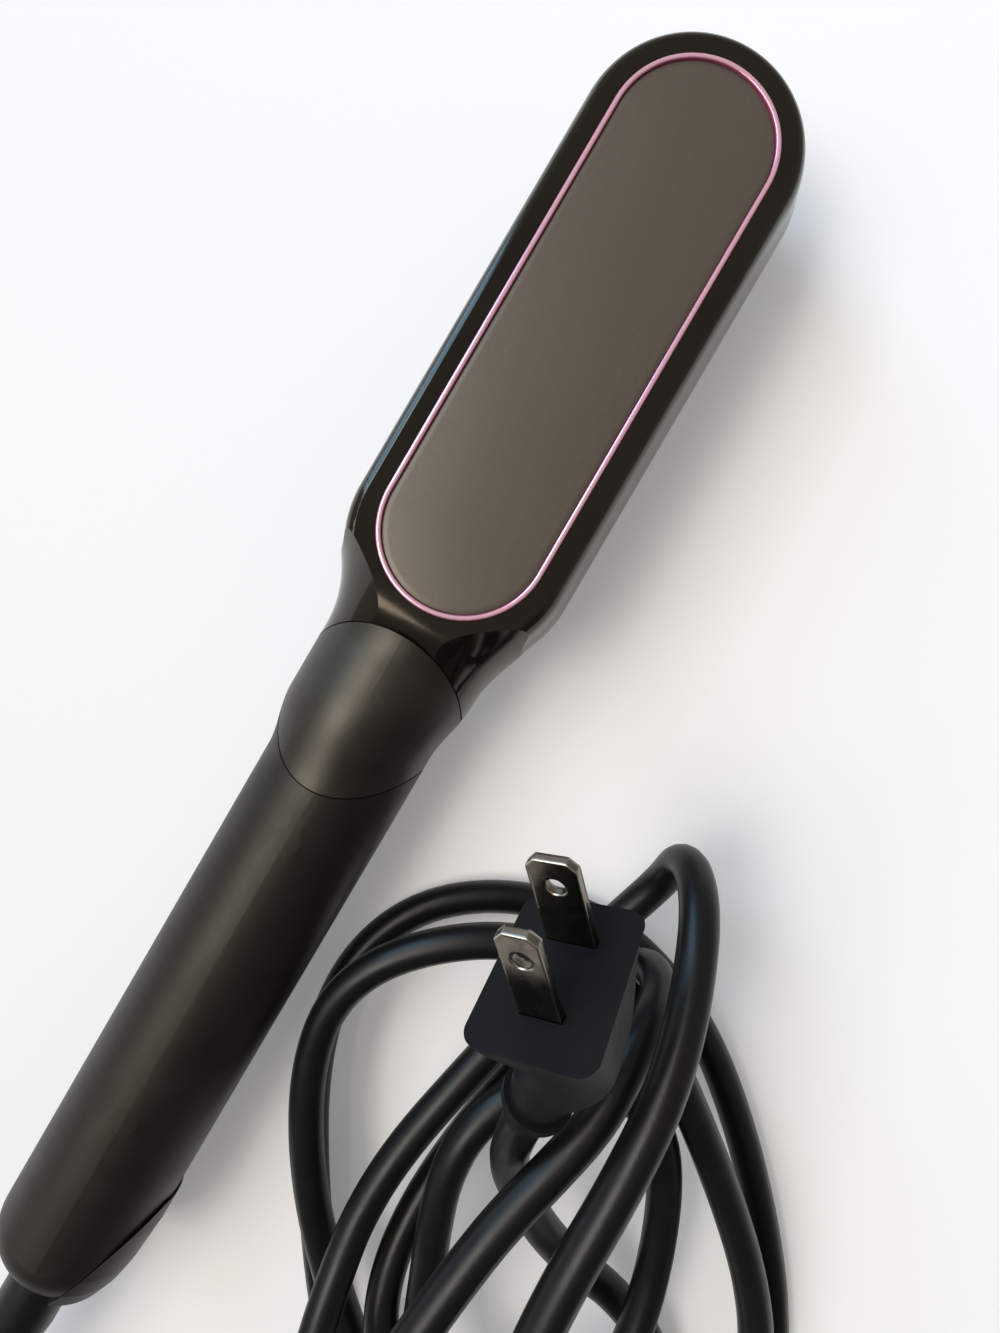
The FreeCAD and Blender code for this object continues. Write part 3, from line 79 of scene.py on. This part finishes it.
# mains cord: lead from the boot, loose pile, then up into the plug
cord = {
    "length": 1.96,
    "diameter": 0.0076,
    "start": (-0.17925, 0.0, 0.018),
    "lead": [
        (-0.197, 0.0, 0.018), (-0.214, -0.008, 0.013), (-0.226, -0.024, 0.008),
        (-0.230, -0.046, 0.0045), (-0.224, -0.069, 0.0043), (-0.211, -0.090, 0.0045),
        (-0.194, -0.106, 0.0043),
    ],
    "tail": [
        (-0.138, -0.097, 0.0155), (-0.146, -0.114, 0.011), (-0.140, -0.132, 0.0085),
        (-0.122, -0.139, 0.007), (-0.105, -0.131, 0.007), (-0.097, -0.114, 0.009),
        (-0.092, -0.099, 0.015), (-0.085, -0.087, 0.022), (-0.076, -0.076, 0.030),
        (-0.067, -0.0675, 0.038),
    ],
    # each loop: centre x, centre y, reach, spread, heading in degrees, middle height, rise, lean
    "loops": [
        (-0.095, -0.093, 0.081, 0.055, 38, 0.0043, 0.0, 0.0),
        (-0.092, -0.086, 0.068, 0.048, 44, 0.017, 0.005, -0.004),
        (-0.069, -0.067, 0.068, 0.011, -8, 0.038, -0.009, -0.019),
        (-0.072, -0.068, 0.052, 0.002, -14, 0.030, -0.006, -0.019),
        (-0.094, -0.095, 0.046, 0.022, 22, 0.019, 0.004, 0.001),
    ],
    # shifts of the pile: turn, then millimetres to the right, to the bottom and up
    "shifts": [
        (-0.50, 0.0, 0.0, 0.0), (-0.30, -1.5, 0.0, 0.0), (-0.20, -5.0, 1.5, 0.0),
        (-0.12, -6.5, 4.5, 0.0), (-0.04, -3.0, 4.5, 0.0), (0.04, 0.0, 0.5, 0.0),
        (0.12, 2.0, -0.5, 0.0), (0.22, 3.0, 0.0, 0.0), (0.40, 0.0, 0.0, 0.0),
        (0.60, 0.0, 0.0, 0.0), (0.70, -1.0, 0.0, 0.0), (0.80, -4.5, 0.5, 0.0),
        (0.90, -2.5, 0.5, -1.5), (1.00, -0.5, -0.5, 0.0), (1.07, 0.0, -2.0, 0.0),
        (1.15, 3.2, -0.5, 0.0), (1.25, 3.2, 0.0, 0.0), (1.45, 0.0, 0.0, 0.0),
        (1.70, 1.0, 0.0, 0.0), (1.80, 0.0, 0.0, 0.0), (1.90, -6.5, 0.0, 0.0),
        (1.96, -6.0, -1.0, 2.0), (2.03, -0.5, -1.5, 2.0), (2.10, 6.5, 3.0, 0.0),
        (2.20, 3.0, 1.5, 0.0), (2.30, -2.0, 0.0, 0.0), (2.40, 3.0, 0.0, 0.0),
        (2.50, 2.5, 0.0, 0.0), (2.65, 0.0, -1.5, 0.0), (2.75, -0.5, -2.5, 0.0),
        (2.82, -0.5, 0.0, 0.0), (2.90, -3.5, 0.5, 0.0), (3.00, -2.5, 3.5, 0.0),
        (3.10, 0.0, 2.0, 0.0), (3.25, 0.5, 0.0, 0.0), (3.40, 0.0, 0.0, 0.0),
        (3.60, 0.0, 0.0, 0.0), (3.90, -0.5, 0.0, 0.0), (4.05, -2.0, 0.0, 3.0),
        (4.15, -5.0, 0.0, 5.0), (4.25, -5.0, 0.0, 3.0),
    ],
    "firstTurn": -0.5,
    "lastTurn": 4.25,
    "pointsPerTurn": 24,
    "roundness": 0.9,
    "hold": 0.2,  # share of a turn at each end over which a loop keeps its size
    "leadRun": 0.020,
    "tailRun": 0.012,
    "plugRun": 0.008,
    "wayStep": 1e-4,
    "smoothness": 6,
}
plug = {
    "face": Vector((-0.0205, -0.0485, 0.073)),
    "bladeAxis": Vector((0.61, 0.62, 0.49)).normalized(),
    "cordAxis": Vector((-0.80, -0.18, -0.57)).normalized(),
    "bend": 0.014,
    "rear": 0.012,
    "neck": 0.015,
}
millimetre = 0.001


def easeOf(share):
    return share * share * (3 - 2 * share)


def loopSize(turns):
    first = math.floor(turns)
    share = (turns - first - cord["hold"]) / (1 - 2 * cord["hold"])
    ease = easeOf(min(max(share, 0.0), 1.0))
    last = len(cord["loops"]) - 1
    lower = cord["loops"][min(max(first, 0), last)]
    upper = cord["loops"][min(max(first + 1, 0), last)]
    return [a + (b - a) * ease for a, b in zip(lower, upper)]


def loopPoint(turns):
    x, y, reach, spread, heading, height, rise, lean = loopSize(turns)
    angle = 2 * math.pi * turns
    swell = cord["roundness"] * (1 - math.hypot(spread, lean) / reach)
    across = math.sin(angle) * (1 + swell * math.cos(angle) ** 2)
    ahead = Vector((math.cos(math.radians(heading)), math.sin(math.radians(heading)), 0.0))
    aside = Vector((-ahead.y, ahead.x, 0.0))
    middle = Vector((x, y, height + rise * math.cos(angle) + lean * across))
    return middle + ahead * (reach * math.cos(angle)) + aside * (spread * across)


# smooth run through the listed shifts
def shiftAt(turns):
    rows = cord["shifts"]
    last = len(rows) - 1
    here = max(i for i, row in enumerate(rows[:-1]) if row[0] <= turns or i == 0)
    before, low, high, after = [rows[min(max(i, 0), last)] for i in range(here - 1, here + 3)]
    gap = high[0] - low[0]
    share = min(max((turns - low[0]) / gap, 0.0), 1.0)
    shift = []
    for side in (1, 2, 3):
        start = (high[side] - before[side]) / (high[0] - before[0]) * gap
        stop = (after[side] - low[side]) / (after[0] - low[0]) * gap
        eased = low[side] + (high[side] - low[side]) * easeOf(share)
        bow = start * share * (1 - share) ** 2 - stop * share * share * (1 - share)
        shift.append(eased + bow)
    return (toRight * shift[0] + toBottom * shift[1] + upward * shift[2]) * millimetre


def loopWay(turns):
    step = cord["wayStep"]
    return (loopPoint(turns + step) - loopPoint(turns - step)).normalized()


def cordRoute():
    first, last = cord["firstTurn"], cord["lastTurn"]
    steps = round((last - first) * cord["pointsPerTurn"])
    turns = [first + (last - first) * i / steps for i in range(steps + 1)]
    coil = [loopPoint(turn) + shiftAt(turn) for turn in turns]
    coilIn = coil[0] - loopWay(first) * cord["diameter"]
    coilOut = coil[-1] + loopWay(last) * cord["diameter"]
    plugBend = plug["face"] - plug["bladeAxis"] * plug["bend"]
    plugEnd = plugBend + plug["cordAxis"] * (plug["rear"] + plug["neck"])
    route = [Vector(cord["start"])] + [Vector(p) for p in cord["lead"]]
    route.append(coilIn - loopWay(first) * cord["leadRun"])
    route += [coilIn] + coil + [coilOut]
    route.append(coilOut + loopWay(last) * cord["tailRun"])
    route += [Vector(p) for p in cord["tail"]]
    route += [plugEnd + plug["cordAxis"] * cord["plugRun"], plugEnd]
    return route


def layCord():
    route = cordRoute()
    data = bpy.data.curves.new("mainsCord", "CURVE")
    data.dimensions = "3D"
    spline = data.splines.new("NURBS")
    spline.points.add(len(route) - 1)
    for point, place in zip(spline.points, route):
        point.co = (*place, 1.0)
        point.radius = cord["diameter"] / 2
    spline.order_u = 3
    spline.use_endpoint_u = True
    spline.resolution_u = cord["smoothness"]
    data.bevel_depth = 1.0  # times the radius of each point
    data.bevel_resolution = cord["smoothness"]
    data.use_fill_caps = True
    piece = addToScene("mainsCord", data)
    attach(piece, "handle")
    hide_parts("cord_lead", "cord_coil", "cord_tail")
    return piece


mainsCord = layCord()
print("cord laid")


# nodes that the finishes share
grainSpan = (0.25, 0.75)  # where most of the noise lies
tintSpan = (0.3, 0.7)
mixColors, mixResult = (6, 7), 2  # the mix node's sockets for colors


def startFinish(name, look):
    finish = bpy.data.materials.new(name)
    finish.use_nodes = True
    shader = finish.node_tree.nodes["Principled BSDF"]
    shader.inputs["Metallic"].default_value = look.get("metallic", 0.0)
    shader.inputs["Specular IOR Level"].default_value = look.get("specular", 0.5)
    shader.inputs["Specular Tint"].default_value = (*look.get("glossTint", (1.0, 1.0, 1.0)), 1.0)
    return finish, finish.node_tree, shader


def placeOn(tree):
    return tree.nodes.new("ShaderNodeTexCoord").outputs["Object"]


def grainOf(tree, scale, detail=3.0, stretch=(1.0, 1.0, 1.0)):
    fit = tree.nodes.new("ShaderNodeMapping")
    fit.inputs["Scale"].default_value = stretch
    grain = tree.nodes.new("ShaderNodeTexNoise")
    grain.inputs["Scale"].default_value = scale
    grain.inputs["Detail"].default_value = detail
    grain.inputs["Roughness"].default_value = 0.55
    tree.links.new(placeOn(tree), fit.inputs["Vector"])
    tree.links.new(fit.outputs["Vector"], grain.inputs["Vector"])
    return grain.outputs["Fac"]


def spanOf(tree, value, low, high, toLow=0.0, toHigh=1.0):
    span = tree.nodes.new("ShaderNodeMapRange")
    span.inputs["From Min"].default_value = low
    span.inputs["From Max"].default_value = high
    span.inputs["To Min"].default_value = toLow
    span.inputs["To Max"].default_value = toHigh
    tree.links.new(value, span.inputs["Value"])
    return span.outputs["Result"]


def mathOf(tree, operation, first, second=None):
    node = tree.nodes.new("ShaderNodeMath")
    node.operation = operation
    for socket, value in zip(node.inputs, (first, second)):
        if isinstance(value, float):
            socket.default_value = value
        elif value is not None:
            tree.links.new(value, socket)
    return node.outputs["Value"]


def dotOf(tree, where, way):
    facing = tree.nodes.new("ShaderNodeVectorMath")
    facing.operation = "DOT_PRODUCT"
    facing.inputs[1].default_value = way
    tree.links.new(where, facing.inputs[0])
    return facing.outputs["Value"]


def mixOf(tree, share, first, second):
    mix = tree.nodes.new("ShaderNodeMix")
    mix.data_type = "RGBA"
    tree.links.new(share, mix.inputs["Factor"])
    for socket, value in zip(mixColors, (first, second)):
        if isinstance(value, tuple):
            mix.inputs[socket].default_value = (*value, 1.0)
        else:
            tree.links.new(value, mix.inputs[socket])
    return mix.outputs[mixResult]


# dust: small dots in a few of the cells
def dustOf(tree, scale, dot, share):
    cells = tree.nodes.new("ShaderNodeTexVoronoi")
    cells.inputs["Scale"].default_value = scale
    tree.links.new(placeOn(tree), cells.inputs["Vector"])
    split = tree.nodes.new("ShaderNodeSeparateColor")
    tree.links.new(cells.outputs["Color"], split.inputs["Color"])
    chosen = mathOf(tree, "GREATER_THAN", split.outputs["Red"], 1.0 - share)
    size = mathOf(tree, "MULTIPLY", split.outputs["Green"], dot)
    inside = mathOf(tree, "LESS_THAN", cells.outputs["Distance"], size)
    return mathOf(tree, "MULTIPLY", chosen, inside)


def tintFrom(tree, shader, grain, dark, light, span=tintSpan):
    ramp = tree.nodes.new("ShaderNodeValToRGB")
    for element, position, color in zip(ramp.color_ramp.elements, span, (dark, light)):
        element.position = position
        element.color = (*color, 1.0)
    tree.links.new(grain, ramp.inputs["Fac"])
    tree.links.new(ramp.outputs["Color"], shader.inputs["Base Color"])
    return ramp.outputs["Color"]


def roughFrom(tree, shader, grain, rough):
    tree.links.new(spanOf(tree, grain, *grainSpan, *rough), shader.inputs["Roughness"])


def reliefFrom(tree, shader, grain, strength, depth, under=None):
    bump = tree.nodes.new("ShaderNodeBump")
    bump.inputs["Strength"].default_value = strength
    bump.inputs["Distance"].default_value = depth
    tree.links.new(grain, bump.inputs["Height"])
    if under:
        tree.links.new(under, bump.inputs["Normal"])
    tree.links.new(bump.outputs["Normal"], shader.inputs["Normal"])


def addDust(tree, shader, tint, color, scale, dot, share):
    dusty = mixOf(tree, dustOf(tree, scale, dot, share), tint, color)
    tree.links.new(dusty, shader.inputs["Base Color"])


def giveFinish(piece, finish):
    piece.data.materials.clear()
    piece.data.materials.append(finish)


# the plate and the ring are oblongs round the same middle line, on the back of the head
oblong = {
    "middle": 0.0759,
    "reach": 0.0433,
    "steps": 40,  # round each end
    "sharpAngle": math.radians(35),
}


def oblongLoop(radius, height):
    loop = []
    for side in (1, -1):
        for i in range(oblong["steps"] + 1):
            angle = math.pi * (i / oblong["steps"] - 0.5) + (0.0 if side > 0 else math.pi)
            x = oblong["middle"] + side * oblong["reach"] + radius * math.cos(angle)
            loop.append((x, radius * math.sin(angle), height))
    return loop


# skin over a row of loops: closed round as a ring, or capped at both ends
def loopedPiece(name, loops, closed, replaced):
    mesh = bpy.data.meshes.new(name)
    count = len(loops[0])
    faces = []
    for row in range(len(loops) if closed else len(loops) - 1):
        low, high = row * count, (row + 1) % len(loops) * count
        for i in range(count):
            j = (i + 1) % count
            faces.append((low + i, low + j, high + j, high + i))
    if not closed:
        faces.append(tuple(reversed(range(count))))
        faces.append(tuple(range((len(loops) - 1) * count, len(loops) * count)))
    mesh.from_pydata([spot for loop in loops for spot in loop], [], faces)
    mesh.shade_smooth()
    mesh.set_sharp_from_angle(angle=oblong["sharpAngle"])
    piece = addToScene(name, mesh)
    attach(piece, "handle")
    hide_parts(replaced)
    return piece


# matt plate, crowned up to the height of the ring, with fine spatter and some dust
plate = {
    "radius": 0.0160,
    "low": 0.0354,
    "edge": 0.0366,
    "lip": 0.0001,
    "crown": 0.0006,
    "rows": 14,
    "inset": 0.15,  # share of a row from the edge to the first loop of the crown
    "dark": (0.076, 0.061, 0.047),
    "light": (0.092, 0.074, 0.057),
    "spatterScale": 1800.0,
    "spatterDetail": 2.0,
    "rough": (0.39, 0.45),
    "roughScale": 45.0,
    "specular": 0.95,
    "glossTint": (1.0, 0.90, 0.78),
    "grainScale": 2600.0,
    "grainDetail": 1.0,
    "relief": 0.10,
    "grainDepth": 0.0001,
    "dust": (0.42, 0.39, 0.35),
    "dustScale": 330.0,
    "dustDot": 0.06,
    "dustShare": 0.035,
}


def layPlate():
    loops = [oblongLoop(plate["radius"], height) for height in (plate["low"], plate["edge"])]
    for i in range(plate["rows"]):
        share = 1 - (i + plate["inset"]) / plate["rows"]
        rise = plate["crown"] * (1 - share * share)
        loops.append(oblongLoop(plate["radius"] * share, plate["edge"] + plate["lip"] + rise))
    return loopedPiece("crownedPlate", loops, False, "back_plate")


def plateFinish():
    finish, tree, shader = startFinish("plateGrey", plate)
    spatter = grainOf(tree, plate["spatterScale"], detail=plate["spatterDetail"])
    tint = tintFrom(tree, shader, spatter, plate["dark"], plate["light"])
    addDust(tree, shader, tint, plate["dust"], plate["dustScale"], plate["dustDot"],
            plate["dustShare"])
    roughFrom(tree, shader, grainOf(tree, plate["roughScale"]), plate["rough"])
    grain = grainOf(tree, plate["grainScale"], detail=plate["grainDetail"])
    reliefFrom(tree, shader, grain, plate["relief"], plate["grainDepth"])
    return finish


# pink ring, rounded over, with painted shade towards its two edges
ring = {
    # corners of its section: distance from the middle line of the oblong, height
    "section": [
        (0.01720, 0.03540), (0.01720, 0.03700), (0.01713, 0.03714), (0.01697, 0.03724),
        (0.01680, 0.03729), (0.01665, 0.03730), (0.01650, 0.03729), (0.01633, 0.03724),
        (0.01617, 0.03714), (0.01610, 0.03700), (0.01610, 0.03540),
    ],
    "centre": 0.01665,
    "half": 0.00055,
    "edgeStart": 0.45,  # share of the half width where the painted shade begins
    "paintedEdgeShade": (0.42, 0.085, 0.19),
    "light": (0.95, 0.54, 0.66),
    "metallic": 0.45,
    "rough": (0.16, 0.24),
    "roughScale": 240.0,
    "grainScale": 900.0,
    "relief": 0.02,
    "grainDepth": 0.0001,
}


def layRing():
    loops = [oblongLoop(radius, height) for radius, height in ring["section"]]
    return loopedPiece("roundedRing", loops, True, "accent_ring")


def ringFinish():
    finish, tree, shader = startFinish("pinkMetal", ring)
    split = tree.nodes.new("ShaderNodeSeparateXYZ")
    tree.links.new(placeOn(tree), split.inputs["Vector"])
    along = mathOf(tree, "SUBTRACT", split.outputs["X"], oblong["middle"])
    past = mathOf(tree, "SUBTRACT", mathOf(tree, "ABSOLUTE", along), oblong["reach"])
    spot = tree.nodes.new("ShaderNodeCombineXYZ")
    tree.links.new(mathOf(tree, "MAXIMUM", past, 0.0), spot.inputs["X"])
    tree.links.new(split.outputs["Y"], spot.inputs["Y"])
    distance = tree.nodes.new("ShaderNodeVectorMath")
    distance.operation = "LENGTH"
    tree.links.new(spot.outputs["Vector"], distance.inputs[0])
    off = mathOf(tree, "SUBTRACT", distance.outputs["Value"], ring["centre"])
    start = ring["half"] * ring["edgeStart"]
    # painted shade: the ring's colour darkens towards both its edges
    edge = spanOf(tree, mathOf(tree, "ABSOLUTE", off), start, ring["half"])
    tintFrom(tree, shader, edge, ring["light"], ring["paintedEdgeShade"], span=(0.0, 1.0))
    roughFrom(tree, shader, grainOf(tree, ring["roughScale"]), ring["rough"])
    reliefFrom(tree, shader, grainOf(tree, ring["grainScale"]), ring["relief"], ring["grainDepth"])
    return finish


giveFinish(layPlate(), plateFinish())
giveFinish(layRing(), ringFinish())
print("plate and ring made")


# tarnished blades, with a painted highlight along their edges
blades = {
    "metallic": 1.0,
    "dark": (0.13, 0.115, 0.095),
    "light": (0.22, 0.195, 0.16),
    "tarnishScale": 420.0,
    "tarnishStretch": (1.0, 1.0, 0.25),
    "paintedEdgeHighlight": (0.72, 0.66, 0.56),
    "edge": 0.0007,
    "edgeFacing": (0.995, 0.70),  # where the painted edge highlight begins and where it is full
    "edgeSamples": 8,
    "rough": (0.16, 0.30),
    "roughScale": 700.0,
    "grainScale": 1800.0,
    "relief": 0.06,
    "grainDepth": 0.0001,
}


def bladeFinish():
    finish, tree, shader = startFinish("nickel", blades)
    tarnish = grainOf(tree, blades["tarnishScale"], stretch=blades["tarnishStretch"])
    tint = tintFrom(tree, shader, tarnish, blades["dark"], blades["light"])
    bevel = tree.nodes.new("ShaderNodeBevel")
    bevel.samples = blades["edgeSamples"]
    bevel.inputs["Radius"].default_value = blades["edge"]
    flat = tree.nodes.new("ShaderNodeNewGeometry")
    facing = tree.nodes.new("ShaderNodeVectorMath")
    facing.operation = "DOT_PRODUCT"
    tree.links.new(bevel.outputs["Normal"], facing.inputs[0])
    tree.links.new(flat.outputs["Normal"], facing.inputs[1])
    # painted highlight: the base colour turns lighter along the blades' edges
    edge = spanOf(tree, facing.outputs["Value"], *blades["edgeFacing"])
    tree.links.new(mixOf(tree, edge, tint, blades["paintedEdgeHighlight"]), shader.inputs["Base Color"])
    roughFrom(tree, shader, grainOf(tree, blades["roughScale"]), blades["rough"])
    reliefFrom(tree, shader, grainOf(tree, blades["grainScale"]), blades["relief"],
               blades["grainDepth"], under=bevel.outputs["Normal"])
    return finish


giveFinish(nodes["plug_blades"], bladeFinish())
print("blades finished")


# scales that all the plain finishes share
moulded = {
    "tintScale": 60.0,
    "roughScale": 138.0,
    "grainScale": 1500.0,
    "grainDepth": 0.0002,
    "dust": (0.30, 0.28, 0.25),
    "dustScale": 300.0,
    "dustDot": 0.045,
}
# plain finishes: two tones, span of roughness, strength of the grain, and the pieces in it
plainFinishes = {
    "glossBlack": {
        "dark": (0.0052, 0.0045, 0.0038), "light": (0.0085, 0.0074, 0.0062),
        "rough": (0.09, 0.15), "relief": 0.02,
        "glossTint": (1.0, 0.85, 0.70), "dustShare": 0.015,
        "pieces": ["back_shell", "front_frame"],
    },
    "satinBlack": {
        "dark": (0.0070, 0.0064, 0.0056), "light": (0.0110, 0.0100, 0.0086),
        "rough": (0.41, 0.49), "relief": 0.08,
        "specular": 0.42, "glossTint": (1.0, 0.91, 0.78), "dustShare": 0.006,
        "pieces": ["handle_rear_shell", "handle_front_shell", "tail_cover"],
    },
    # paler than satinBlack: partly the cover's own finish, partly painted light for its brighter
    # look under the lamps
    "coverBlack": {
        "dark": (0.0110, 0.0098, 0.0084), "light": (0.0160, 0.0142, 0.0122),
        "rough": (0.36, 0.44), "relief": 0.08,
        "specular": 0.6, "glossTint": (1.0, 0.91, 0.78), "dustShare": 0.006,
        "pieces": ["neck_cover"],
    },
    "guardBlack": {
        "dark": (0.010, 0.0095, 0.009), "light": (0.016, 0.015, 0.014),
        "rough": (0.40, 0.52), "relief": 0.10,
        "pieces": ["tooth_guard"],
    },
    "combCoat": {
        "dark": (0.022, 0.020, 0.019), "light": (0.034, 0.030, 0.028),
        "rough": (0.30, 0.42), "relief": 0.12,
        "pieces": ["heater_comb"],
    },
    "cordRubber": {
        "dark": (0.0052, 0.0051, 0.0054), "light": (0.0088, 0.0085, 0.0087),
        "rough": (0.30, 0.42), "relief": 0.10, "specular": 0.30,
        "pieces": ["strain_relief", "mainsCord"],
    },
    "plugRubber": {
        "dark": (0.0078, 0.0078, 0.0090), "light": (0.0120, 0.0118, 0.0134),
        "rough": (0.46, 0.58), "relief": 0.08, "specular": 0.10,
        "pieces": ["plug_body", "plug_neck"],
    },
    "steel": {
        "dark": (0.48, 0.48, 0.48), "light": (0.62, 0.62, 0.61),
        "rough": (0.25, 0.38), "relief": 0.05, "metallic": 1.0,
        "pieces": ["head_screws", "neck_screws", "handle_screws", "board_screws",
                   "clamp_screws", "heater_clamp", "thermal_fuse"],
    },
    "brass": {
        "dark": (0.66, 0.48, 0.22), "light": (0.76, 0.58, 0.30),
        "rough": (0.22, 0.34), "relief": 0.05, "metallic": 1.0,
        "pieces": ["slip_rings", "contact_springs"],
    },
    "panelBlack": {
        "dark": (0.007, 0.007, 0.007), "light": (0.011, 0.011, 0.011),
        "rough": (0.12, 0.20), "relief": 0.03,
        "pieces": ["control_panel", "tact_switches", "controller_chip", "triac",
                   "swivel_bush", "swivel_core"],
    },
    "buttonGrey": {
        "dark": (0.055, 0.052, 0.051), "light": (0.075, 0.071, 0.069),
        "rough": (0.38, 0.48), "relief": 0.08,
        "pieces": ["power_button", "plus_button", "minus_button"],
    },
    "smokedLens": {
        "dark": (0.20, 0.19, 0.18), "light": (0.27, 0.26, 0.25),
        "rough": (0.16, 0.26), "relief": 0.02,
        "pieces": ["indicator_lens", "indicator_leds"],
    },
    "boardGreen": {
        "dark": (0.015, 0.09, 0.035), "light": (0.025, 0.14, 0.055),
        "rough": (0.30, 0.42), "relief": 0.08,
        "pieces": ["circuit_board"],
    },
    "ceramicWhite": {
        "dark": (0.62, 0.60, 0.55), "light": (0.74, 0.72, 0.67),
        "rough": (0.46, 0.58), "relief": 0.12,
        "pieces": ["ceramic_heaters", "neck_sleeve"],
    },
    "micaTan": {
        "dark": (0.38, 0.33, 0.25), "light": (0.52, 0.46, 0.37),
        "rough": (0.24, 0.40), "relief": 0.10,
        "pieces": ["mica_sheet"],
    },
    "boxYellow": {
        "dark": (0.52, 0.36, 0.05), "light": (0.62, 0.44, 0.08),
        "rough": (0.30, 0.40), "relief": 0.05,
        "pieces": ["filter_capacitor"],
    },
    "beadBrown": {
        "dark": (0.22, 0.08, 0.04), "light": (0.34, 0.14, 0.07),
        "rough": (0.12, 0.20), "relief": 0.03,
        "pieces": ["thermistor"],
    },
    "wireWhite": {
        "dark": (0.60, 0.60, 0.58), "light": (0.74, 0.74, 0.71),
        "rough": (0.42, 0.52), "relief": 0.08,
        "pieces": ["heater_leads", "mains_leads"],
    },
}


def plainFinish(name, look):
    finish, tree, shader = startFinish(name, look)
    tint = tintFrom(tree, shader, grainOf(tree, moulded["tintScale"]), look["dark"], look["light"])
    if "dustShare" in look:
        addDust(tree, shader, tint, moulded["dust"], moulded["dustScale"], moulded["dustDot"],
                look["dustShare"])
    roughFrom(tree, shader, grainOf(tree, moulded["roughScale"]), look["rough"])
    grain = grainOf(tree, moulded["grainScale"])
    reliefFrom(tree, shader, grain, look["relief"], moulded["grainDepth"])
    return finish


for name, look in plainFinishes.items():
    finish = plainFinish(name, look)
    for pieceName in look["pieces"]:
        giveFinish(mainsCord if pieceName == "mainsCord" else nodes[pieceName], finish)
print("finishes given")


# pale floor, painted darker on the side of the lamps and paler away from them, a broad lamp and a
# smaller warm one high on the left, a cool window beside the head
stage = {
    "size": 12.0,
    "floorPaintedShade": (0.760, 0.728, 0.730),  # painted shade on the side of the lamps, against their stronger light
    # painted light away from the lamps, where their light falls off
    "floorPaintedLight": (0.905, 0.905, 0.925),
    "floorReach": 0.14,
    "floorGlow": 0.20,
    "floorRough": (0.75, 0.85),
    "floorGrain": 9.0,
    "specular": 0.2,
    # each lamp: place, what it points at, power, color, width, height
    "lamps": {
        "broadLamp": ((-0.30, 1.38, 1.94), (0.0, 0.0, 0.0), 31.0, (1.0, 0.97, 0.92), 2.4, 1.15),
        "warmLamp": ((-0.38, 0.46, 1.17), (0.0, 0.0, 0.03), 4.1, (1.0, 0.91, 0.79), 0.60, 0.36),
        "window": ((0.463, 1.425, 0.687), (0.06, 0.02, 0.036), 13.0, (0.33, 0.66, 1.0), 0.62, 1.23),
    },
    "roomLow": (0.40, 0.385, 0.365),
    "roomHigh": (0.31, 0.295, 0.275),
    "roomSpan": (0.0, 1.0),
    "shade": 0.22,
    "shadeWay": Vector((-0.86, -0.50, 0.30)).normalized(),
    "shadeSpan": (0.40, 0.80),
}


def layFloor():
    half = stage["size"] / 2
    mesh = bpy.data.meshes.new("floor")
    corners = [(-half, -half, 0), (half, -half, 0), (half, half, 0), (-half, half, 0)]
    mesh.from_pydata(corners, [], [(0, 1, 2, 3)])
    floor = addToScene("floor", mesh)
    finish, tree, shader = startFinish("paleFloor", stage)
    # painted shade and light: the floor's colour runs from darker on the lamps' side to paler away
    # from them
    across = dotOf(tree, placeOn(tree), toRight)
    far = spanOf(tree, across, -stage["floorReach"], stage["floorReach"])
    tintFrom(tree, shader, far, stage["floorPaintedShade"], stage["floorPaintedLight"], span=(0.0, 1.0))
    roughFrom(tree, shader, grainOf(tree, stage["floorGrain"]), stage["floorRough"])
    rays = tree.nodes.new("ShaderNodeLightPath").outputs
    mirrored = mathOf(tree, "MAXIMUM", rays["Is Glossy Ray"], rays["Is Transmission Ray"])
    seen = mathOf(tree, "MAXIMUM", rays["Is Camera Ray"], mirrored)
    glow = mathOf(tree, "MULTIPLY", seen, stage["floorGlow"])
    tree.links.new(glow, shader.inputs["Emission Strength"])
    mesh.materials.append(finish)


def addLamp(name, place, target, power, color, width, height):
    data = bpy.data.lights.new(name, "AREA")
    data.shape = "RECTANGLE"
    data.energy = power
    data.color = color
    data.size = width
    data.size_y = height
    lamp = addToScene(name, data)
    lamp.location = place
    lamp.rotation_euler = (Vector(target) - Vector(place)).to_track_quat("-Z", "Y").to_euler()


def shareToward(tree, where, way, span):
    share = tree.nodes.new("ShaderNodeMapRange")
    share.interpolation_type = "SMOOTHSTEP"
    share.inputs["From Min"].default_value = span[0]
    share.inputs["From Max"].default_value = span[1]
    tree.links.new(dotOf(tree, where, way), share.inputs["Value"])
    return share.outputs["Result"]


def lightWorld():
    world = bpy.data.worlds.new("softRoom")
    bpy.context.scene.world = world
    world.use_nodes = True
    tree = world.node_tree
    where = tree.nodes.new("ShaderNodeTexCoord").outputs["Generated"]
    high = shareToward(tree, where, upward, stage["roomSpan"])
    room = mixOf(tree, high, stage["roomLow"], stage["roomHigh"])
    shade = tuple(c * stage["shade"] for c in stage["roomLow"])
    shaded = shareToward(tree, where, stage["shadeWay"], stage["shadeSpan"])
    room = mixOf(tree, shaded, room, shade)
    tree.links.new(room, tree.nodes["Background"].inputs["Color"])


layFloor()
for name, settings in stage["lamps"].items():
    addLamp(name, *settings)
lightWorld()
bpy.context.scene.view_settings.view_transform = "Standard"
print("stage lit")
